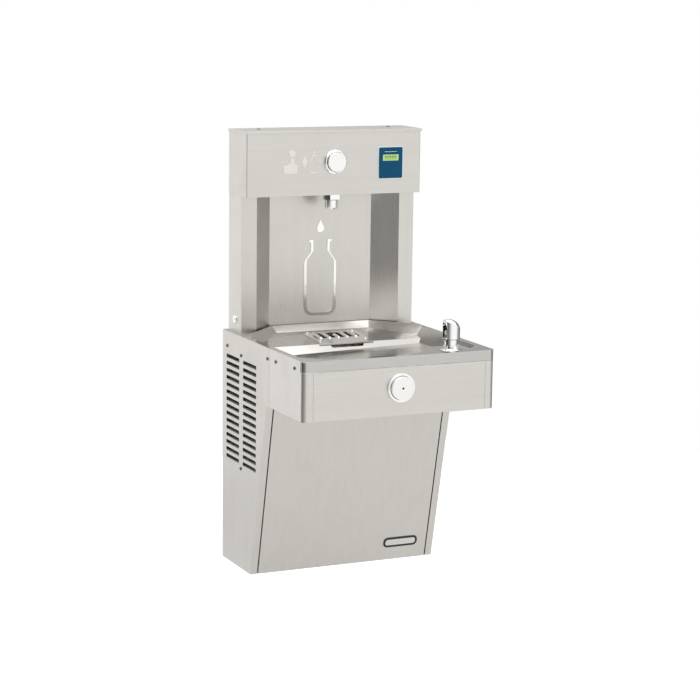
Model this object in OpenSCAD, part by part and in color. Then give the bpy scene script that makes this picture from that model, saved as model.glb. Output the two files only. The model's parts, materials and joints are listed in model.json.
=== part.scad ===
// Wall-hung bottle filling station: a cooler cabinet with a basin and a bubbler,
// and a tower with a hood over a bottle alcove. Sizes are millimetres, +z is up,
// the wall is the plane y = 0 and the front faces -y. Heights count from the
// cabinet's bottom, and the finished model is set down by mount_z, so that its
// origin is the middle of the four wall bolts.

/* [Cabinet] */
// Width of the cabinet
cab_w = 467; // [445:1:500]
// Height of the basin's rim above the cabinet's bottom
rim_z = 548; // [542:1:570]
// Depth of the cabinet at its bottom
base_d = 177; // [172:1:190]
// Depth of the cabinet right under the apron
neck_d = 269; // [262:1:276]
// Thickness of the stainless sheet
sheet = 1.2; // [1:0.1:1.4]
// Thickness of the galvanised chassis
chassis = 2; // [1.5:0.5:2.5]
// Width of the gap beside the lower front panel
front_gap = 3; // [2:0.5:4]
// Width of the sloped flange of each side panel
side_flange = 16.5; // [12:0.5:20]
// Width of the bare badge plate on the lower front
badge_w = 88; // [60:1:110]
// Height of the bare badge plate
badge_h = 25; // [18:1:30]

/* [Louvres] */
// Rows of louvres in each column
louvre_rows = 15; // [8:1:15]
// Distance from one louvre to the next
louvre_pitch = 17; // [15:0.5:17]
// Length of a louvre
louvre_l = 80; // [60:1:84]
// Height of a louvre's slot
louvre_h = 9.5; // [7:0.5:11]
// Height of the middle of the top louvre
louvre_top = 490; // [480:1:490]

/* [Wall fixing] */
// Height of the middle of the wall bolts above the cabinet's bottom
mount_z = 300; // [290:1:310]
// Distance from a wall bolt to the cabinet's side
bolt_edge = 30.5; // [27.5:0.5:38]
// Distance between the wall bolts upright
bolt_h = 340; // [330:1:350]
// Radius of a wall bolt hole
bolt_r = 4.5; // [3.5:0.5:5.5]

/* [Apron] */
// Height of the apron's lower edge
apron_z = 415; // [405:1:420]
// Depth of the apron and of the whole station
apron_d = 473; // [465:1:490]
// Distance from the wall to the rear end of the apron's sides
apron_back = 285; // [280:1:300]
// Corner radius of the apron and of the basin's lip
apron_r = 13; // [8:0.5:16]
// Height of the basin's turned-down lip
lip_h = 24; // [18:1:28]

/* [Push button] */
// Height of the middle of the push button
push_z = 478; // [470:1:485]
// Diameter of the push button's bezel
push_bezel_d = 65; // [60:1:72]
// Diameter of the push button
push_d = 53; // [46:1:54]
// Travel of the push button
push_travel = 4; // [2:0.5:5]

/* [Basin] */
// Half the width of the basin's opening at its rim
flank_x = 217; // [212:1:219]
// Height of the curb along the rear of the basin
curb_z = 555; // [552:1:558]
// Distance from the wall to the foot of the curb
foot_y = 52; // [51:0.5:55]
// Distance from the wall to the front edge of the rear deck
deck_y = 172; // [168:1:180]
// Height of the deck at the foot of the curb
deck_rear_z = 540; // [538:0.5:541]
// Height of the deck at its front edge
deck_front_z = 529; // [527:0.5:531]
// Height of the bowl's floor at its rear
bowl_rear_z = 515; // [512:0.5:517]
// Height of the bowl's floor at its front
bowl_front_z = 521; // [518:0.5:524]
// Distance from the wall to the front of the basin's opening
opening_y = 455; // [448:1:457]
// Height of the shelf that the bubbler stands on
shelf_z = 540; // [537:0.5:542]

/* [Drain] */
// Width of the drain grate
grate_w = 136; // [126:1:146]
// Depth of the drain grate
grate_l = 113; // [108:1:118]
// Thickness of the drain grate
grate_t = 1.5; // [1:0.5:3]
// Number of raised bars on the grate
grate_bars = 5; // [3:2:5]
// Distance from one bar to the next
bar_pitch = 22.4; // [19:0.2:24]
// Outer diameter of the waste pipe
waste_d = 31.75; // [30:0.25:33]

/* [Bubbler] */
// Distance from the bubbler to the cabinet's right side
bubbler_side = 75.5; // [69.5:0.5:83.5]
// Distance from the bubbler to the apron's front
bubbler_front = 69; // [63:1:75]
// Height of the bubbler above its shelf
bubbler_h = 71; // [64:1:78]
// Diameter of the bubbler's hood
bubbler_d = 39; // [34:1:42]

/* [Tower] */
// Width of the tower
tower_w = 437.5; // [430:0.5:444]
// Depth of the tower's uprights
tower_d = 79; // [74:1:84]
// Width of each upright's front face
upright_w = 37.5; // [34:0.5:40]
// Width of the alcove's back panel
alcove_w = 260; // [250:1:270]
// Distance from the wall to the alcove's back panel
alcove_y = 31; // [29:1:35]

/* [Hood] */
// Width of the hood
hood_w = 438.6; // [438:0.2:444]
// Depth of the hood
hood_d = 110; // [106:1:116]
// Height of the hood's floor above the cabinet's bottom
hood_z = 866; // [850:1:900]
// Height of the hood with its cap
hood_h = 150; // [146:1:160]
// Height of the cap's turned-down edge
cap_h = 6; // [4:0.5:9]
// Distance that the cap stands over the hood
cap_over = 2.5; // [1:0.5:4]
// Diameter of the fill button's ring
ring_d = 57; // [54:1:62]
// Diameter of the fill button
fill_d = 45; // [40:1:46]
// Travel of the fill button
fill_travel = 4; // [2:0.5:5]
// Width of the display panel
display_w = 64; // [56:1:70]
// Height of the display panel
display_h = 75; // [66:1:80]

/* [Nozzle] */
// Distance of the nozzle from the wall
nozzle_y = 91; // [88:1:92]
// Diameter of the nozzle's barrel
nozzle_d = 32; // [28:1:34]
// Distance that the nozzle hangs below the hood
nozzle_h = 34; // [28:1:40]

/* [Cooling] */
// Diameter of the compressor's shell
comp_d = 140; // [130:1:150]
// Height of the compressor's shell
comp_h = 165; // [150:1:175]
// Diameter of the cooling tank
tank_d = 126; // [116:1:128]
// Height of the cooling tank
tank_h = 210; // [190:1:215]
// Diameter of the condenser fan
fan_d = 150; // [140:1:154]
// Number of fan blades
fan_blades = 5; // [3:1:7]
// Diameter of the filter cartridge
filter_d = 74; // [64:1:76]
// Length of the filter cartridge
filter_l = 225; // [200:1:230]

/* [Hidden] */
$fn = 64;

// How far a cut runs past the face that it opens
over = 5;
// A length beyond every edge of the station, for shapes that are trimmed later
beyond = 700;
// Gap between two panels that meet edge to edge
seam = 0.5;
// Radial clearance of a running fit
run = 0.05;
// Radial clearance around a screw or a pipe in sheet metal
loose = 0.3;

half_w = cab_w / 2;
inner_x = half_w - sheet;
slope = atan((neck_d - base_d) / apron_z);
slope_t = sheet / cos(slope);
hood_top = hood_z + hood_h;
bolt_w = cab_w - 2 * bolt_edge;
bubbler_x = half_w - bubbler_side;
bubbler_y = apron_d - bubbler_front;

// Depth of the sloped front at a height
function front_at(z) = base_d + (neck_d - base_d) * z / apron_z;

// Sets the finished model down, with the middle of the wall bolts at the origin
module at_mount() {
    translate([0, 0, -mount_z]) children();
}

// A block between two x, two y and two z values
module block(xs, ys, zs) {
    translate([xs[0], ys[0], zs[0]]) cube([xs[1] - xs[0], ys[1] - ys[0], zs[1] - zs[0]]);
}

// An outline in y and z, extruded from x0 to x1
module along_x(x0, x1) {
    translate([x0, 0, 0]) rotate([90, 0, 90]) linear_extrude(x1 - x0) children();
}

// An outline in x and z, extruded from y0 to y1
module along_y(y0, y1) {
    translate([0, y1, 0]) rotate([90, 0, 0]) linear_extrude(y1 - y0) children();
}

// An outline in x and y, extruded from z0 to z1
module along_z(z0, z1) {
    translate([0, 0, z0]) linear_extrude(z1 - z0) children();
}

// Round bars along each axis
module rod_x(r, x0, x1, y, z) {
    translate([x0, y, z]) rotate([0, 90, 0]) cylinder(r = r, h = x1 - x0);
}

module rod_y(r, y0, y1, x, z) {
    translate([x, y1, z]) rotate([90, 0, 0]) cylinder(r = r, h = y1 - y0);
}

module rod_z(r, z0, z1, x, y) {
    translate([x, y, z0]) cylinder(r = r, h = z1 - z0);
}

// Keeps the children and adds their mirror image on the other side
module both_sides() {
    children();
    mirror([1, 0, 0]) children();
}

// A rectangle with round corners, about its middle
module round_rect(w, h, r) {
    square([w - 2 * r, h], center = true);
    square([w, h - 2 * r], center = true);
    for (sx = [-1, 1], sy = [-1, 1])
        translate([sx * (w / 2 - r), sy * (h / 2 - r)]) circle(r = r);
}

// A plan outline with two round front corners
module front_round(half, front, back, r) {
    translate([-half, -(front - r)]) square([2 * half, front - r - back]);
    intersection() {
        translate([-half, -front]) square([2 * half, front - back]);
        union() {
            translate([-(half - r), -front]) square([2 * (half - r), r]);
            for (s = [-1, 1]) translate([s * (half - r), -(front - r)]) circle(r = r);
        }
    }
}

// A tube or a wire along a list of points, with a ball at each bend
module run_along(path, r) {
    for (i = [0 : len(path) - 2]) {
        step = path[i + 1] - path[i];
        reach = norm(step);
        translate(path[i])
            rotate([0, acos(step[2] / reach), atan2(step[1], step[0])])
                cylinder(r = r, h = reach);
    }
    if (len(path) > 2)
        for (i = [1 : len(path) - 2]) translate(path[i]) sphere(r = r);
}

// A quarter or half bend of pipe in the plane of y and z, about a centre
module pipe_bend(r, bend_r, from, sweep, y, z, wall = 0) {
    translate([0, y, z]) rotate([90, 0, 90]) rotate([0, 0, from])
        rotate_extrude(angle = sweep) translate([bend_r, 0]) difference() {
            circle(r = r);
            if (wall > 0) circle(r = r - wall);
        }
}

// A screw with its head on top of z = 0, a socket in the head and its shank below
module screw(head_r, head_h, shank_r, shank_l) {
    difference() {
        union() {
            cylinder(r1 = head_r, r2 = head_r * screw_crown_share, h = head_h);
            translate([0, 0, -shank_l]) cylinder(r = shank_r, h = shank_l + head_h / 2);
        }
        translate([0, 0, head_h / 2]) cylinder(r = shank_r, h = head_h, $fn = 6);
    }
}

// A wire spring around the y axis, from y = 0 to -len, with its ends cut off square
module coil(r, wire_r, len, turns) {
    steps = coil_steps * turns;
    sides = coil_sides;
    points = [
        for (i = [0 : steps], j = [0 : sides - 1])
            let (a = 360 * turns * i / steps, b = 360 * j / sides)
                [(r + wire_r * cos(b)) * cos(a), -len * i / steps + wire_r * sin(b),
                 (r + wire_r * cos(b)) * sin(a)]
    ];
    walls = [
        for (i = [0 : steps - 1], j = [0 : sides - 1], k = [0, 1])
            let (a = i * sides + j, b = i * sides + (j + 1) % sides, c = a + sides, d = b + sides)
                k == 0 ? [a, b, c] : [b, d, c]
    ];
    near = [for (j = [1 : sides - 2]) [0, j + 1, j]];
    far = [for (j = [1 : sides - 2]) [steps * sides, steps * sides + j, steps * sides + j + 1]];
    polyhedron(points = points, faces = concat(walls, near, far));
}

// Screws
screw_r = 2;
screw_head_r = 4.3;
screw_head_h = 2;
screw_l = 8;
screw_crown_share = 0.7;

// Springs
coil_steps = 12;
coil_sides = 6;
spring_turns = 6;
wire_r = 0.9;
spring_end = 1.2;

// Back frame: side flanges, the opening for the plumbing and the shelf of the tank
frame_flange = 20;
rough_w = 220;
rough_share = 0.28;
rough_z = mount_z + bolt_h * rough_share;
rough_h = 100;
floor_z = sheet + chassis;

module back_frame() {
    color("lightgray") at_mount() difference() {
        union() {
            block([-inner_x, inner_x], [-chassis, 0], [floor_z, rim_z - sheet]);
            both_sides() block([inner_x - chassis, inner_x], [-frame_flange, -chassis],
                               [floor_z, rim_z - sheet]);
            block([tank_x - tank_d / 2, tank_x + tank_d / 2],
                  [-(tank_y + tank_d / 2), -chassis], [tank_z - chassis, tank_z]);
        }
        both_sides() for (s = [-1, 1])
            rod_y(bolt_r, -chassis - over, over, bolt_w / 2, mount_z + s * bolt_h / 2);
        block([-rough_w / 2, rough_w / 2], [-chassis - over, over], [rough_z, rough_z + rough_h]);
    }
}

// Base pan, with the studs of the compressor
pan_gap = 4;
pan_lip = 12;
stud_r = 4;
stud_h = 22;

module base_pan() {
    front = base_d - pan_gap;
    color("lightgray") at_mount() difference() {
        union() {
            block([-inner_x, inner_x], [-front, 0], [sheet, floor_z]);
            block([-(front_half - chassis), front_half - chassis], [-front, -front + chassis],
                  [floor_z, floor_z + pan_lip]);
            for (sx = [-1, 1], sy = [-1, 1])
                rod_z(stud_r, floor_z, floor_z + stud_h, comp_x + sx * feet_x, -comp_y + sy * feet_y);
        }
        both_sides() rod_z(screw_r + loose, 0, floor_z + over, front_screw_x, -front_screw_y);
    }
}

// Side panels: a flat sheet with louvres, a sloped front flange and a bottom flange
front_half = half_w - side_flange - front_gap;
louvre_y = [24, 127];
louvre_r = 3;
blade_in = 7;
blade_up = 3.5;
strut_y = (louvre_y[0] + louvre_l + louvre_y[1]) / 2;
strut_w = 18;
screw_drop = 14;
rail_z = louvre_top + louvre_h;
rail_flange = 12;
// Places of the rail's screws, as shares of the apron's depth and of the rail's height
rail_screw_shares = [[0.061, 0.3], [0.577, 0.5], [0.677, 0.52], [0.9, 0.6]];
function rail_screw_z(shares) = rail_z + (rim_z - sheet - rail_z) * shares[1];
strut_screw_z = [louvre_top + screw_drop, louvre_top - (louvre_rows - 1) * louvre_pitch - screw_drop];

module side_screw_holes(x0, x1) {
    for (shares = rail_screw_shares)
        rod_x(screw_r + loose, x0, x1, -shares[0] * apron_d, rail_screw_z(shares));
    for (z = strut_screw_z) rod_x(screw_r + loose, x0, x1, -strut_y, z);
}

module side_panel() {
    rows = [0 : louvre_rows - 1];
    difference() {
        union() {
            along_x(inner_x, half_w) difference() {
                polygon([[0, 0], [-base_d, 0], [-neck_d, apron_z], [-(apron_back - seam), apron_z],
                         [-(apron_back - seam), rim_z], [0, rim_z]]);
                for (y = louvre_y, i = rows)
                    translate([-(y + louvre_l / 2), louvre_top - i * louvre_pitch])
                        round_rect(louvre_l, louvre_h, louvre_r);
            }
            along_x(half_w - side_flange, inner_x)
                polygon([[-base_d, 0], [-neck_d, apron_z], [-neck_d + slope_t, apron_z],
                         [-base_d + slope_t, 0]]);
            block([half_w - side_flange, inner_x], [-base_d + slope_t / 2, 0], [0, sheet]);
        }
        side_screw_holes(inner_x - over, half_w + over);
    }
    for (y = louvre_y, i = rows) louvre_blade(y, louvre_top - i * louvre_pitch - louvre_h / 2);
}

// The blade rises inward from the lower edge of its slot
module louvre_blade(y, z) {
    along_y(-(y + louvre_l), -y)
        polygon([[half_w, z - sheet], [half_w, z], [half_w - blade_in, z + blade_up],
                 [half_w - blade_in, z + blade_up - sheet]]);
}

module side_left() {
    color("silver") at_mount() mirror([1, 0, 0]) side_panel();
}

module side_right() {
    color("silver") at_mount() side_panel();
}

// Rails that carry the basin and the apron, each with an upright strut
module side_rails() {
    rail_front = apron_d - lip_depth - seam;
    color("darkgray") at_mount() both_sides() difference() {
        union() {
            block([inner_x - chassis, inner_x], [-rail_front, -frame_flange], [rail_z, rim_z - sheet]);
            block([inner_x - rail_flange, inner_x], [-rail_front, -frame_flange],
                  [rim_z - sheet - chassis, rim_z - sheet]);
            block([inner_x - chassis, inner_x], [-(strut_y + strut_w / 2), -(strut_y - strut_w / 2)],
                  [floor_z, rail_z]);
        }
        side_screw_holes(inner_x - chassis - over, inner_x + over);
    }
}

// Screws of the side panels and the apron, and two that hold the lower front from below
front_return = 24;
front_screw_share = 0.7;
front_screw_x = front_half * front_screw_share;
front_screw_y = base_d - front_return * front_screw_share;

module panel_screws() {
    color("dimgray") at_mount() both_sides() {
        for (shares = rail_screw_shares)
            translate([half_w, -shares[0] * apron_d, rail_screw_z(shares)]) rotate([0, 90, 0])
                screw(screw_head_r, screw_head_h, screw_r, screw_l);
        for (z = strut_screw_z)
            translate([half_w, -strut_y, z]) rotate([0, 90, 0])
                screw(screw_head_r, screw_head_h, screw_r, screw_l);
        translate([front_screw_x, -front_screw_y, 0]) rotate([180, 0, 0])
            screw(screw_head_r, screw_head_h, screw_r, screw_l);
    }
}

// Lower front: a sloped sheet with side returns and a bottom return
front_over = 12;
front_side = 14;

module lower_front() {
    top = apron_z + front_over;
    color("silver") at_mount() difference() {
        union() {
            along_x(-front_half, front_half)
                polygon([[-base_d, 0], [-front_at(top), top], [-front_at(top) + slope_t, top],
                         [-front_at(sheet) + slope_t, sheet], [-base_d + front_return, sheet],
                         [-base_d + front_return, 0]]);
            both_sides() along_x(front_half - sheet, front_half)
                polygon([[-front_at(sheet) + slope_t, sheet + chassis],
                         [-front_at(top) + slope_t, top], [-front_at(top) + front_side, top],
                         [-front_at(sheet) + front_side, sheet + chassis]]);
        }
        both_sides() rod_z(screw_r + loose, -over, sheet + over, front_screw_x, -front_screw_y);
    }
}

// Bare badge plate on the lower front
badge_x = 146;
badge_z = 44;
badge_t = 1.5;
badge_r = 8;

module badge_plate() {
    color("gainsboro") at_mount() translate([badge_x, -base_d, 0]) rotate([slope, 0, 0])
        along_y(-badge_t, 0) translate([0, badge_z / cos(slope)]) round_rect(badge_w, badge_h, badge_r);
}

// Apron: front, round corners, sides and underside from one sheet
lip_side = 1.5;
lip_depth = apron_r + lip_side;
sleeve_wall = 2;
button_gap = 0.6;
push_sleeve_r = push_d / 2 + sleeve_wall + button_gap;

module apron() {
    under_back = front_at(apron_z + front_over) + seam;
    color("silver") at_mount() difference() {
        union() {
            along_z(apron_z, rim_z) difference() {
                front_round(half_w, apron_d, apron_back, apron_r);
                front_round(inner_x, apron_d - sheet, apron_back - over, apron_r - sheet);
            }
            along_z(apron_z, apron_z + sheet) {
                front_round(half_w, apron_d, apron_back, apron_r);
                translate([-(inner_x - seam), -apron_back])
                    square([2 * (inner_x - seam), apron_back - under_back]);
            }
        }
        block([-half_w - over, half_w + over], [-apron_d - over, -(apron_d - lip_depth)],
              [rim_z - lip_h, rim_z + over]);
        rod_y(push_sleeve_r + loose, -apron_d - over, -apron_d + sheet + over, 0, push_z);
        both_sides() side_screw_holes(inner_x - over, half_w + over);
    }
}

// Basin: rim, lip, rear deck with its curb, bowl, drain sump and the bubbler's shelf
band_run = 18;
bowl_tilt = 1.3;
rear_corner = 88;
front_corner = 47;
shelf_side = 30;
shelf_rear = 59;
drain_x = 6;
sump_w = 112;
sump_rear = 74;
sump_front = 158;
sump_z = 500;
mouth_w = 94;
mouth_low_w = 78;
mouth_z = 521;
low_z = sump_z - sheet - over;
deck_rate = (deck_rear_z - deck_front_z) / (deck_y - foot_y);
bowl_y = deck_y + band_run;
riser_x = -60;
riser_y = 18;
tail_y = 128;

// The rear deck with its sloped curb, walls moved out by g
module deck_space(g, top) {
    ahead = band_run / 2;
    along_x(-beyond / 2, beyond / 2)
        polygon([[-foot_y + (top - deck_rear_z) + g * sqrt(2), top],
                 [-foot_y - g + g * sqrt(2), deck_rear_z - g],
                 [-(deck_y + ahead), deck_front_z - ahead * deck_rate - g],
                 [-(deck_y + ahead), top]]);
}

// The bowl in front of the deck, walls moved out by g
module bowl_space(g, top) {
    band_drop = deck_front_z - bowl_rear_z;
    out = g * norm([band_run, band_drop]) / band_drop;
    depth = deck_front_z - low_z;
    rise = atan((bowl_front_z - bowl_rear_z) / (opening_y - bowl_y));
    intersection() {
        along_x(-beyond / 2, beyond / 2)
            polygon([[-deck_y + out, top], [-deck_y + out, deck_front_z],
                     [-deck_y + out - depth * band_run / band_drop, low_z],
                     [-(opening_y - band_run + g), low_z], [-(opening_y + g), rim_z],
                     [-(opening_y + g), top]]);
        translate([0, -bowl_y, bowl_rear_z - g]) rotate([-rise, -bowl_tilt, 0])
            translate([-beyond / 2, -beyond / 2, 0]) cube(beyond);
    }
}

// Everything on the inner side of a wall that slopes in at 45 degrees, seen from above
// at an angle, with its upper edge at a distance from the origin
module wall_side(angle, distance, edge_z, g, top) {
    rotate([0, 0, angle]) along_y(-beyond, beyond)
        polygon([[-beyond, low_z], [distance - (edge_z - low_z) + g * sqrt(2), low_z],
                 [distance + (top - edge_z) + g * sqrt(2), top], [-beyond, top]]);
}

// The raised shelf of the bubbler in the bowl's corner, drawn in by g
module shelf_block(g) {
    left = bubbler_x - shelf_side + g * sqrt(2);
    rear = -(bubbler_y - shelf_rear) - g * sqrt(2);
    drop = shelf_z - low_z;
    intersection() {
        along_y(-beyond, 0)
            polygon([[left - drop, low_z], [left - g, shelf_z - g], [beyond, shelf_z - g],
                     [beyond, low_z]]);
        along_x(0, beyond)
            polygon([[rear + drop, low_z], [rear + g, shelf_z - g], [-beyond, shelf_z - g],
                     [-beyond, low_z]]);
    }
}

// The free space of the basin, walls moved out by g, up to a height
module pan_space(g, top) {
    difference() {
        intersection() {
            union() {
                deck_space(g, top);
                bowl_space(g, top);
            }
            both_walls(0, flank_x, rim_z, g, top);
            both_walls(45, rear_corner / sqrt(2), curb_z, g, top);
            both_walls(-45, (flank_x + opening_y - front_corner) / sqrt(2), rim_z, g, top);
        }
        shelf_block(g);
    }
}

// The space between a sloped wall and its mirror image
module both_walls(angle, distance, edge_z, g, top) {
    intersection() {
        wall_side(angle, distance, edge_z, g, top);
        mirror([1, 0, 0]) wall_side(angle, distance, edge_z, g, top);
    }
}

// The drain sump under the grate and its mouth into the bowl, walls moved out by g,
// up to a distance above the deck
module sump_space(g, up) {
    translate([drain_x, 0, 0]) intersection() {
        union() {
            block([-(sump_w / 2 + g), sump_w / 2 + g], [-(sump_front + g), -(sump_rear - g)],
                  [sump_z - g, curb_z]);
            along_y(-bowl_y, -sump_front)
                polygon([[-(mouth_low_w / 2 + g), mouth_z - g], [mouth_low_w / 2 + g, mouth_z - g],
                         [mouth_w / 2 + g, deck_front_z + up], [-(mouth_w / 2 + g), deck_front_z + up]]);
        }
        along_x(-half_w, half_w)
            polygon([[0, low_z], [0, deck_rear_z + foot_y * deck_rate + up],
                     [-bowl_y, deck_front_z - band_run * deck_rate + up], [-bowl_y, low_z]]);
    }
}

module basin() {
    lip_back = apron_d - lip_depth;
    color("silver") at_mount() difference() {
        union() {
            along_z(rim_z - sheet, rim_z) {
                front_round(half_w, apron_d, lip_back + seam, apron_r);
                translate([-(inner_x - seam), -(lip_back + apron_r)])
                    square([2 * (inner_x - seam), lip_back + apron_r]);
            }
            along_z(rim_z - lip_h + seam, rim_z) difference() {
                front_round(half_w, apron_d, lip_back + seam, apron_r);
                front_round(inner_x, apron_d - sheet, lip_back - over, apron_r - sheet);
            }
            intersection() {
                pan_space(sheet, curb_z);
                union() {
                    block([-half_w, half_w], [-apron_d, 0], [low_z, rim_z - sheet / 2]);
                    block([-flank_x, flank_x], [-deck_y, 0], [rim_z - sheet, curb_z + over]);
                }
            }
            sump_space(sheet, 0);
        }
        pan_space(0, curb_z + over);
        sump_space(0, over);
        rod_z(waste_d / 2 + loose, low_z - over, deck_rear_z, 0, -tail_y);
        rod_z(bubbler_shank_r + loose, low_z - over, rim_z, bubbler_x, -bubbler_y);
        rod_z(tube_r + loose, rim_z - sheet - over, rim_z + over, riser_x, -riser_y);
        grate_screw_places() translate([0, 0, -screw_l - over])
            cylinder(r = screw_r + loose, h = screw_l + 2 * over);
    }
}

// Drain grate: a plate on the deck with raised bars between slots
grate_back = 12;
grate_y = foot_y + grate_back;
grate_lip = 2;
bar_r = 4.5;
bar_start = 18;
bar_end = 64;
slot_w = 10;
slot_edge_w = 4;
bar_rise = 3.2;
eye_r = 11;
grate_edge = 10.5;
grate_screw_x = grate_w / 2 - grate_edge;
grate_screw_y = [13, 88];

module on_grate() {
    translate([drain_x, -grate_y, deck_rear_z - (grate_y - foot_y) * deck_rate + run])
        rotate([atan(deck_rate), 0, 0]) children();
}

module grate_screw_places() {
    on_grate() for (y = grate_screw_y, s = [-1, 1]) translate([s * grate_screw_x, -y, 0]) children();
}

module drain_grate() {
    last = (grate_bars - 1) / 2;
    edge_x = last * bar_pitch + bar_r + slot_edge_w;
    color("gray") at_mount() difference() {
        on_grate() difference() {
            union() {
                block([-grate_w / 2, grate_w / 2], [-grate_l, 0], [0, grate_t]);
                block([-grate_w / 2, grate_w / 2], [-grate_l, -grate_l + grate_t], [-grate_lip, grate_t]);
                for (i = [-last : last]) translate([i * bar_pitch, 0, 0]) {
                    rod_y(bar_r, -bar_end, -bar_start, 0, grate_t + bar_rise - bar_r);
                    translate([0, -bar_end, grate_t + bar_rise - bar_r]) sphere(r = bar_r);
                }
            }
            for (i = [-last : last - 1])
                block([(i + 1 / 2) * bar_pitch - slot_w / 2, (i + 1 / 2) * bar_pitch + slot_w / 2],
                      [-bar_end, -bar_start], [-over, grate_t + over]);
            both_sides() block([edge_x - slot_edge_w / 2, edge_x + slot_edge_w / 2],
                               [-bar_end, -2 * bar_start], [-over, grate_t + over]);
            rod_z(eye_r, -over, grate_t + bar_rise + over, 0, -(nozzle_y - grate_y));
            block([-beyond / 2, beyond / 2], [-bar_end - 2 * bar_r, beyond], [-2 * bar_r, 0]);
            for (y = grate_screw_y, s = [-1, 1])
                rod_z(screw_r + loose, -over, grate_t + over, s * grate_screw_x, -y);
        }
    }
}

module grate_screws() {
    color("white") at_mount() grate_screw_places() translate([0, 0, grate_t])
        screw(screw_head_r, screw_head_h, screw_r, screw_l);
}

// Bubbler: a round base with a flange, a shank through the basin and a jet inside the hood
bubbler_shank_r = 10;
bubbler_flange_r = 25;
bubbler_flange_t = 3;
bubbler_neck_r = 16;
bubbler_neck_z = 27;
bubbler_shank_l = 45;
bubbler_bore_r = 4;
jet_r = 4.5;
jet_z = 42;
mouth_r = 11.5;
hood_apex = 7;

module bubbler_base() {
    color("lightgray") at_mount() translate([bubbler_x, -bubbler_y, shelf_z]) difference() {
        union() {
            cylinder(r = bubbler_flange_r, h = bubbler_flange_t / 2);
            translate([0, 0, bubbler_flange_t / 2])
                cylinder(r1 = bubbler_flange_r, r2 = bubbler_neck_r, h = bubbler_flange_t);
            cylinder(r = bubbler_neck_r, h = bubbler_neck_z);
            translate([0, 0, -bubbler_shank_l])
                cylinder(r = bubbler_shank_r, h = bubbler_shank_l + bubbler_neck_z);
            rod_z(jet_r, bubbler_neck_z - over, jet_z, 0, 0);
        }
        rod_z(bubbler_bore_r, -bubbler_shank_l - over, bubbler_neck_z - over, 0, 0);
        rod_z(jet_r / 2, -bubbler_shank_l, jet_z + over, 0, 0);
    }
}

module bubbler_hood() {
    r = bubbler_d / 2;
    dome_r = r + hood_apex;
    dome_z = bubbler_h - dome_r;
    color("lightgray") at_mount() translate([bubbler_x, -bubbler_y, shelf_z]) difference() {
        intersection() {
            rod_z(r, bubbler_neck_z, bubbler_h + over, 0, 0);
            union() {
                rod_z(beyond / 2, 0, dome_z, 0, 0);
                translate([-hood_apex, 0, dome_z]) sphere(r = dome_r);
            }
        }
        rod_x(mouth_r, -2 * r, hood_apex, 0, dome_z + hood_apex);
        block([-2 * r, hood_apex], [-mouth_r, mouth_r],
              [bubbler_neck_z + bubbler_flange_t, dome_z + hood_apex]);
        rod_z(jet_r + run, 0, bubbler_h / 2, 0, 0);
    }
}

bubbler_nut_r = 19;
bubbler_nut_h = 8;

module bubbler_nut() {
    color("goldenrod") at_mount() translate([bubbler_x, -bubbler_y, shelf_z - sheet - bubbler_nut_h])
        difference() {
            cylinder(r = bubbler_nut_r, h = bubbler_nut_h, $fn = 6);
            translate([0, 0, -over]) cylinder(r = bubbler_shank_r + run, h = bubbler_nut_h + 2 * over);
        }
}

// Drain: a flanged tailpiece in the sump, a trap below it and its nuts
waste_r = waste_d / 2;
waste_wall = 1.6;
tail_flange_r = 22;
tail_flange_t = 2;
tail_end_z = 440;
trap_bend_r = 32;
trap_z = 400;
trap_rise = 8;
waste_z = trap_z + trap_rise + trap_bend_r;
slip_nut_r = 23;
slip_nut_h = 18;
lock_nut_h = 9;

module tailpiece() {
    color("lightgray") at_mount() difference() {
        union() {
            rod_z(tail_flange_r, sump_z, sump_z + tail_flange_t, 0, -tail_y);
            rod_z(waste_r, tail_end_z, sump_z + tail_flange_t, 0, -tail_y);
        }
        rod_z(waste_r - waste_wall, tail_end_z - over, sump_z + over, 0, -tail_y);
    }
}

module trap_run(r) {
    leg_y = tail_y - 2 * trap_bend_r;
    rod_z(r, trap_z, tail_end_z, 0, -tail_y);
    pipe_bend(r, trap_bend_r, 180, 180, -(tail_y - trap_bend_r), trap_z);
    rod_z(r, trap_z, trap_z + trap_rise, 0, -leg_y);
    pipe_bend(r, trap_bend_r, 90, 90, -(leg_y - trap_bend_r), trap_z + trap_rise);
    rod_y(r, -(leg_y - trap_bend_r), 0, 0, waste_z);
}

module drain_trap() {
    color("lightgray") at_mount() difference() {
        trap_run(waste_r);
        trap_run(waste_r - waste_wall);
    }
}

module trap_nuts() {
    color("lightgray") at_mount() translate([0, -tail_y, 0]) difference() {
        union() {
            translate([0, 0, tail_end_z - slip_nut_h / 2])
                cylinder(r = slip_nut_r, h = slip_nut_h, $fn = 8);
            translate([0, 0, sump_z - sheet - lock_nut_h])
                cylinder(r = slip_nut_r, h = lock_nut_h, $fn = 8);
        }
        rod_z(waste_r + run, tail_end_z - slip_nut_h, sump_z, 0, 0);
    }
}

// Push button on the apron: a bezel with a sleeve and a guide plate, a cap on a stem
push_out = 14;
push_bezel_out = 6;
sleeve_l = 15;
guide_t = 3;
cap_t = 3;
push_stem_r = 8;
clip_t = 1.5;
clip_w = 3;
clip_gap = 0.3;
push_dimple_r = 2.5;
push_dimple = 2;
arm_x = 20;
arm_w = 4;
arm_h = 14;
arm_l = 15;
valve_x = 26;

module push_bezel() {
    back = -apron_d + sleeve_l;
    color("white") at_mount() difference() {
        union() {
            rod_y(push_bezel_d / 2, -apron_d - push_bezel_out, -apron_d, 0, push_z);
            rod_y(push_sleeve_r, -apron_d, back + guide_t, 0, push_z);
            both_sides() block([arm_x, arm_x + arm_w], [back, back + guide_t + arm_l],
                               [push_z - arm_h / 2, push_z + arm_h / 2]);
        }
        rod_y(push_d / 2 + button_gap, -apron_d - push_bezel_out - over, back, 0, push_z);
        rod_y(push_stem_r + run, back - over, back + guide_t + over, 0, push_z);
    }
}

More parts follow.
